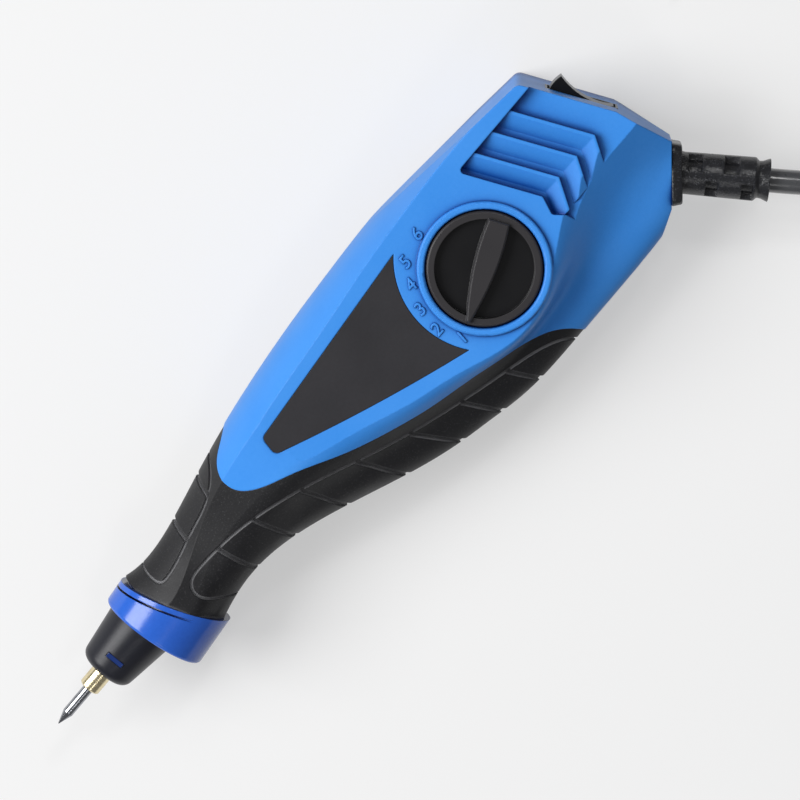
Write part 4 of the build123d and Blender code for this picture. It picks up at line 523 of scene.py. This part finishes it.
def coil_points():
    """Control points of the put-away coil: in on the floor, up one layer where it turns back, and out."""
    place, before = Vector(CORD_ROUTE[-1]), Vector(CORD_ROUTE[-2])
    heading = (place - before).normalized()
    inward = Vector((-heading.y, heading.x, 0))
    place = place + heading*COIL_START_RUN
    points = []
    inner = COIL_OUTER_RADIUS - COIL_STEP*HALF_TURNS_IN
    radii = [COIL_OUTER_RADIUS - COIL_STEP*i for i in range(HALF_TURNS_IN)]
    radii += [inner + COIL_STEP*i for i in range(HALF_TURNS_OUT + 1)]
    for turn, radius in enumerate(radii):
        centre = place + inward*radius
        reach = radius/math.cos(math.pi/POINTS_PER_HALF_TURN/2)
        for k in range(POINTS_PER_HALF_TURN):
            share = (k + 0.5)/POINTS_PER_HALF_TURN
            spot = centre + reach*(heading*math.sin(math.pi*share) - inward*math.cos(math.pi*share))
            if turn == HALF_TURNS_IN:
                spot.z += COIL_RISE*share
            points.append(spot)
        place = place + inward*2*radius
        if turn == HALF_TURNS_IN:
            place.z += COIL_RISE
        heading, inward = -heading, -inward
    return points + [place + heading*COIL_END_RUN/2, place + heading*COIL_END_RUN]


def make_cord():
    """The cord and its coil as one smooth line."""
    points = [Vector(p)*MM for p in CORD_ROUTE] + [p*MM for p in coil_points()]
    cord = tube("mains_cord", points, CORD_DIAMETER/2, 8, 6)
    cord.data.materials.append(finishes["cord_rubber"])
    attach(cord, "housing")
    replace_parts(cord, "cord", "cord_coil")


# ---------------------------------------------------------------- dial, boot and spring

def make_numbers():
    """The dial's numbers 1 to 6, raised from the face and rounded along their edges."""
    for digit, (x, y) in NUMBERS.items():
        data = bpy.data.curves.new("number_" + digit, "FONT")
        data.body = digit
        data.size, data.shear = NUMBER_SIZE, NUMBER_SHEAR
        data.align_x, data.align_y = "CENTER", "CENTER"
        data.extrude, data.bevel_depth, data.bevel_resolution = NUMBER_RAISED, NUMBER_EDGE, 2
        text = linked("number_" + digit, data)
        text.location = (x*MM, y*MM, FACE_Z)
        add_piece("number_" + digit, mesh_of(text), "body_plastic")


def in_slot(distance, angle):
    """Whether the boot has a window at a distance along it and an angle about it; each has one opposite."""
    return any(start < distance < end and abs((angle - middle + 90) % 180 - 90) < BOOT_SLOT_HALF_ANGLE
               for start, end, middle in BOOT_SLOTS)


def profile_radius(distance):
    """The boot's outer radius along it."""
    for (near, first), (far, second) in zip(BOOT_PROFILE, BOOT_PROFILE[1:]):
        if distance <= far:
            break
    return first + (second - first)*(distance - near)/(far - near)


def make_sleeve():
    """The boot round the cord, in bands of facets that are sunk to its core where a window is."""
    start = OUTLET + OUTLET_OUT*FLANGE_THICKNESS
    along = (Vector(CORD_ROUTE[0]) - start).normalized()
    side = UP.cross(along)
    stops = sorted({*(x for x, _ in BOOT_PROFILE), *(x for slot in BOOT_SLOTS for x in slot[:2])})
    bands = list(zip(stops, stops[1:]))
    bm = bmesh.new()

    def corner(distance, step, radius):
        angle = math.radians(360*step/BOOT_STEPS)
        return bm.verts.new((start + along*distance + (side*math.cos(angle) + UP*math.sin(angle))*radius)*MM)

    def face(*corners):
        bm.faces.new([corner(*spot) for spot in corners])

    def radii(band, step):
        a, b = bands[band]
        if in_slot((a + b)/2, 360*(step + 0.5)/BOOT_STEPS):
            return BOOT_CORE_RADIUS, BOOT_CORE_RADIUS
        return profile_radius(a), profile_radius(b)

    for band, (a, b) in enumerate(bands):
        for step in range(BOOT_STEPS):
            near, far = radii(band, step)
            face((a, step, near), (a, step + 1, near), (b, step + 1, far), (b, step, far))
            beside_near, beside_far = radii(band, step - 1)
            if beside_near != near:
                face((a, step, beside_near), (a, step, near), (b, step, far), (b, step, beside_far))
            before = radii(band - 1, step)[1] if band else 0
            if before != near:
                inner = [(a, step, before), (a, step + 1, before)] if before else [(a, step, 0)]
                face(*inner, (a, step + 1, near), (a, step, near))
            if band == len(bands) - 1:
                face((b, step, 0), (b, step, far), (b, step + 1, far))
    bmesh.ops.remove_doubles(bm, verts=bm.verts, dist=WELD_DISTANCE)
    return softened("cord_boot", bm, 0.22*MM)


def at_outlet(depth, across, height):
    """A point out of the tail's wall by a depth, and beside and above the outlet's middle."""
    return (OUTLET + OUTLET_OUT*depth + OUTLET_SIDE*across + UP*height)*MM


def make_flange():
    """The boot's flange against the tail: a rounded oblong, with a little draft."""
    rings = []
    for depth in (0, FLANGE_THICKNESS):
        inset = depth*FLANGE_DRAFT + FLANGE_CORNER
        wide, tall = FLANGE_WIDTH/2 - inset, FLANGE_HEIGHT/2 - inset
        ring = []
        for quarter, (x, y) in enumerate(((wide, tall), (-wide, tall), (-wide, -tall), (wide, -tall))):
            for k in range(FLANGE_CORNER_STEPS + 1):
                angle = math.radians(90*(quarter + k/FLANGE_CORNER_STEPS))
                ring.append(at_outlet(depth, x + FLANGE_CORNER*math.cos(angle), y + FLANGE_CORNER*math.sin(angle)))
        rings.append(ring)
    return softened("cord_boot_flange", lofted(rings), 0.4*MM, 3)


def make_neck():
    """The boot's neck through the wall, and the flange that holds it from inside."""
    rings = []
    for depth, radius in ((-WALL - INNER_FLANGE_THICKNESS, INNER_FLANGE_RADIUS), (-WALL, INNER_FLANGE_RADIUS),
                          (-WALL, NECK_RADIUS), (NECK_OVERLAP, NECK_RADIUS)):
        angles = [math.tau*k/BOOT_STEPS for k in range(BOOT_STEPS)]
        rings.append([at_outlet(depth, radius*math.cos(angle), radius*math.sin(angle)) for angle in angles])
    return softened("cord_boot_neck", lofted(rings), 0.1*MM)


def make_boot():
    """The strain relief: a boot with windows turned by turns, a flange and a neck."""
    for name, mesh in (("cord_boot", make_sleeve()), ("cord_boot_flange", make_flange()),
                       ("cord_boot_neck", make_neck())):
        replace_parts(add_piece(name, mesh, "cord_rubber", finish="boot_rubber"), "strain_relief")


def make_spring():
    """The plunger's return spring, made at rest; in the pen the clip presses it together as the tip goes in."""
    low, high = (Vector(corner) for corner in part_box("return_spring"))
    radius = (high.z - low.z)/2 - SPRING_WIRE_RADIUS
    middle = (low + high)/2
    first, last = low.x + SPRING_WIRE_RADIUS, high.x - SPRING_WIRE_RADIUS
    steps = SPRING_TURNS*SPRING_POINTS_PER_TURN
    points = []
    for k in range(steps + 1):
        angle = math.tau*k/SPRING_POINTS_PER_TURN
        points.append((first + (last - first)*k/steps, middle.y + radius*math.cos(angle),
                       middle.z + radius*math.sin(angle)))
    wire = tube("coiled_spring", points, SPRING_WIRE_RADIUS, 3, 2)
    spring = add_piece("coiled_spring", mesh_of(wire), "bright_steel")
    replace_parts(spring, "return_spring")
    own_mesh(spring)


make_camera()
make_cord()
dress_nodes()
make_numbers()
make_boot()
make_spring()
make_studio()
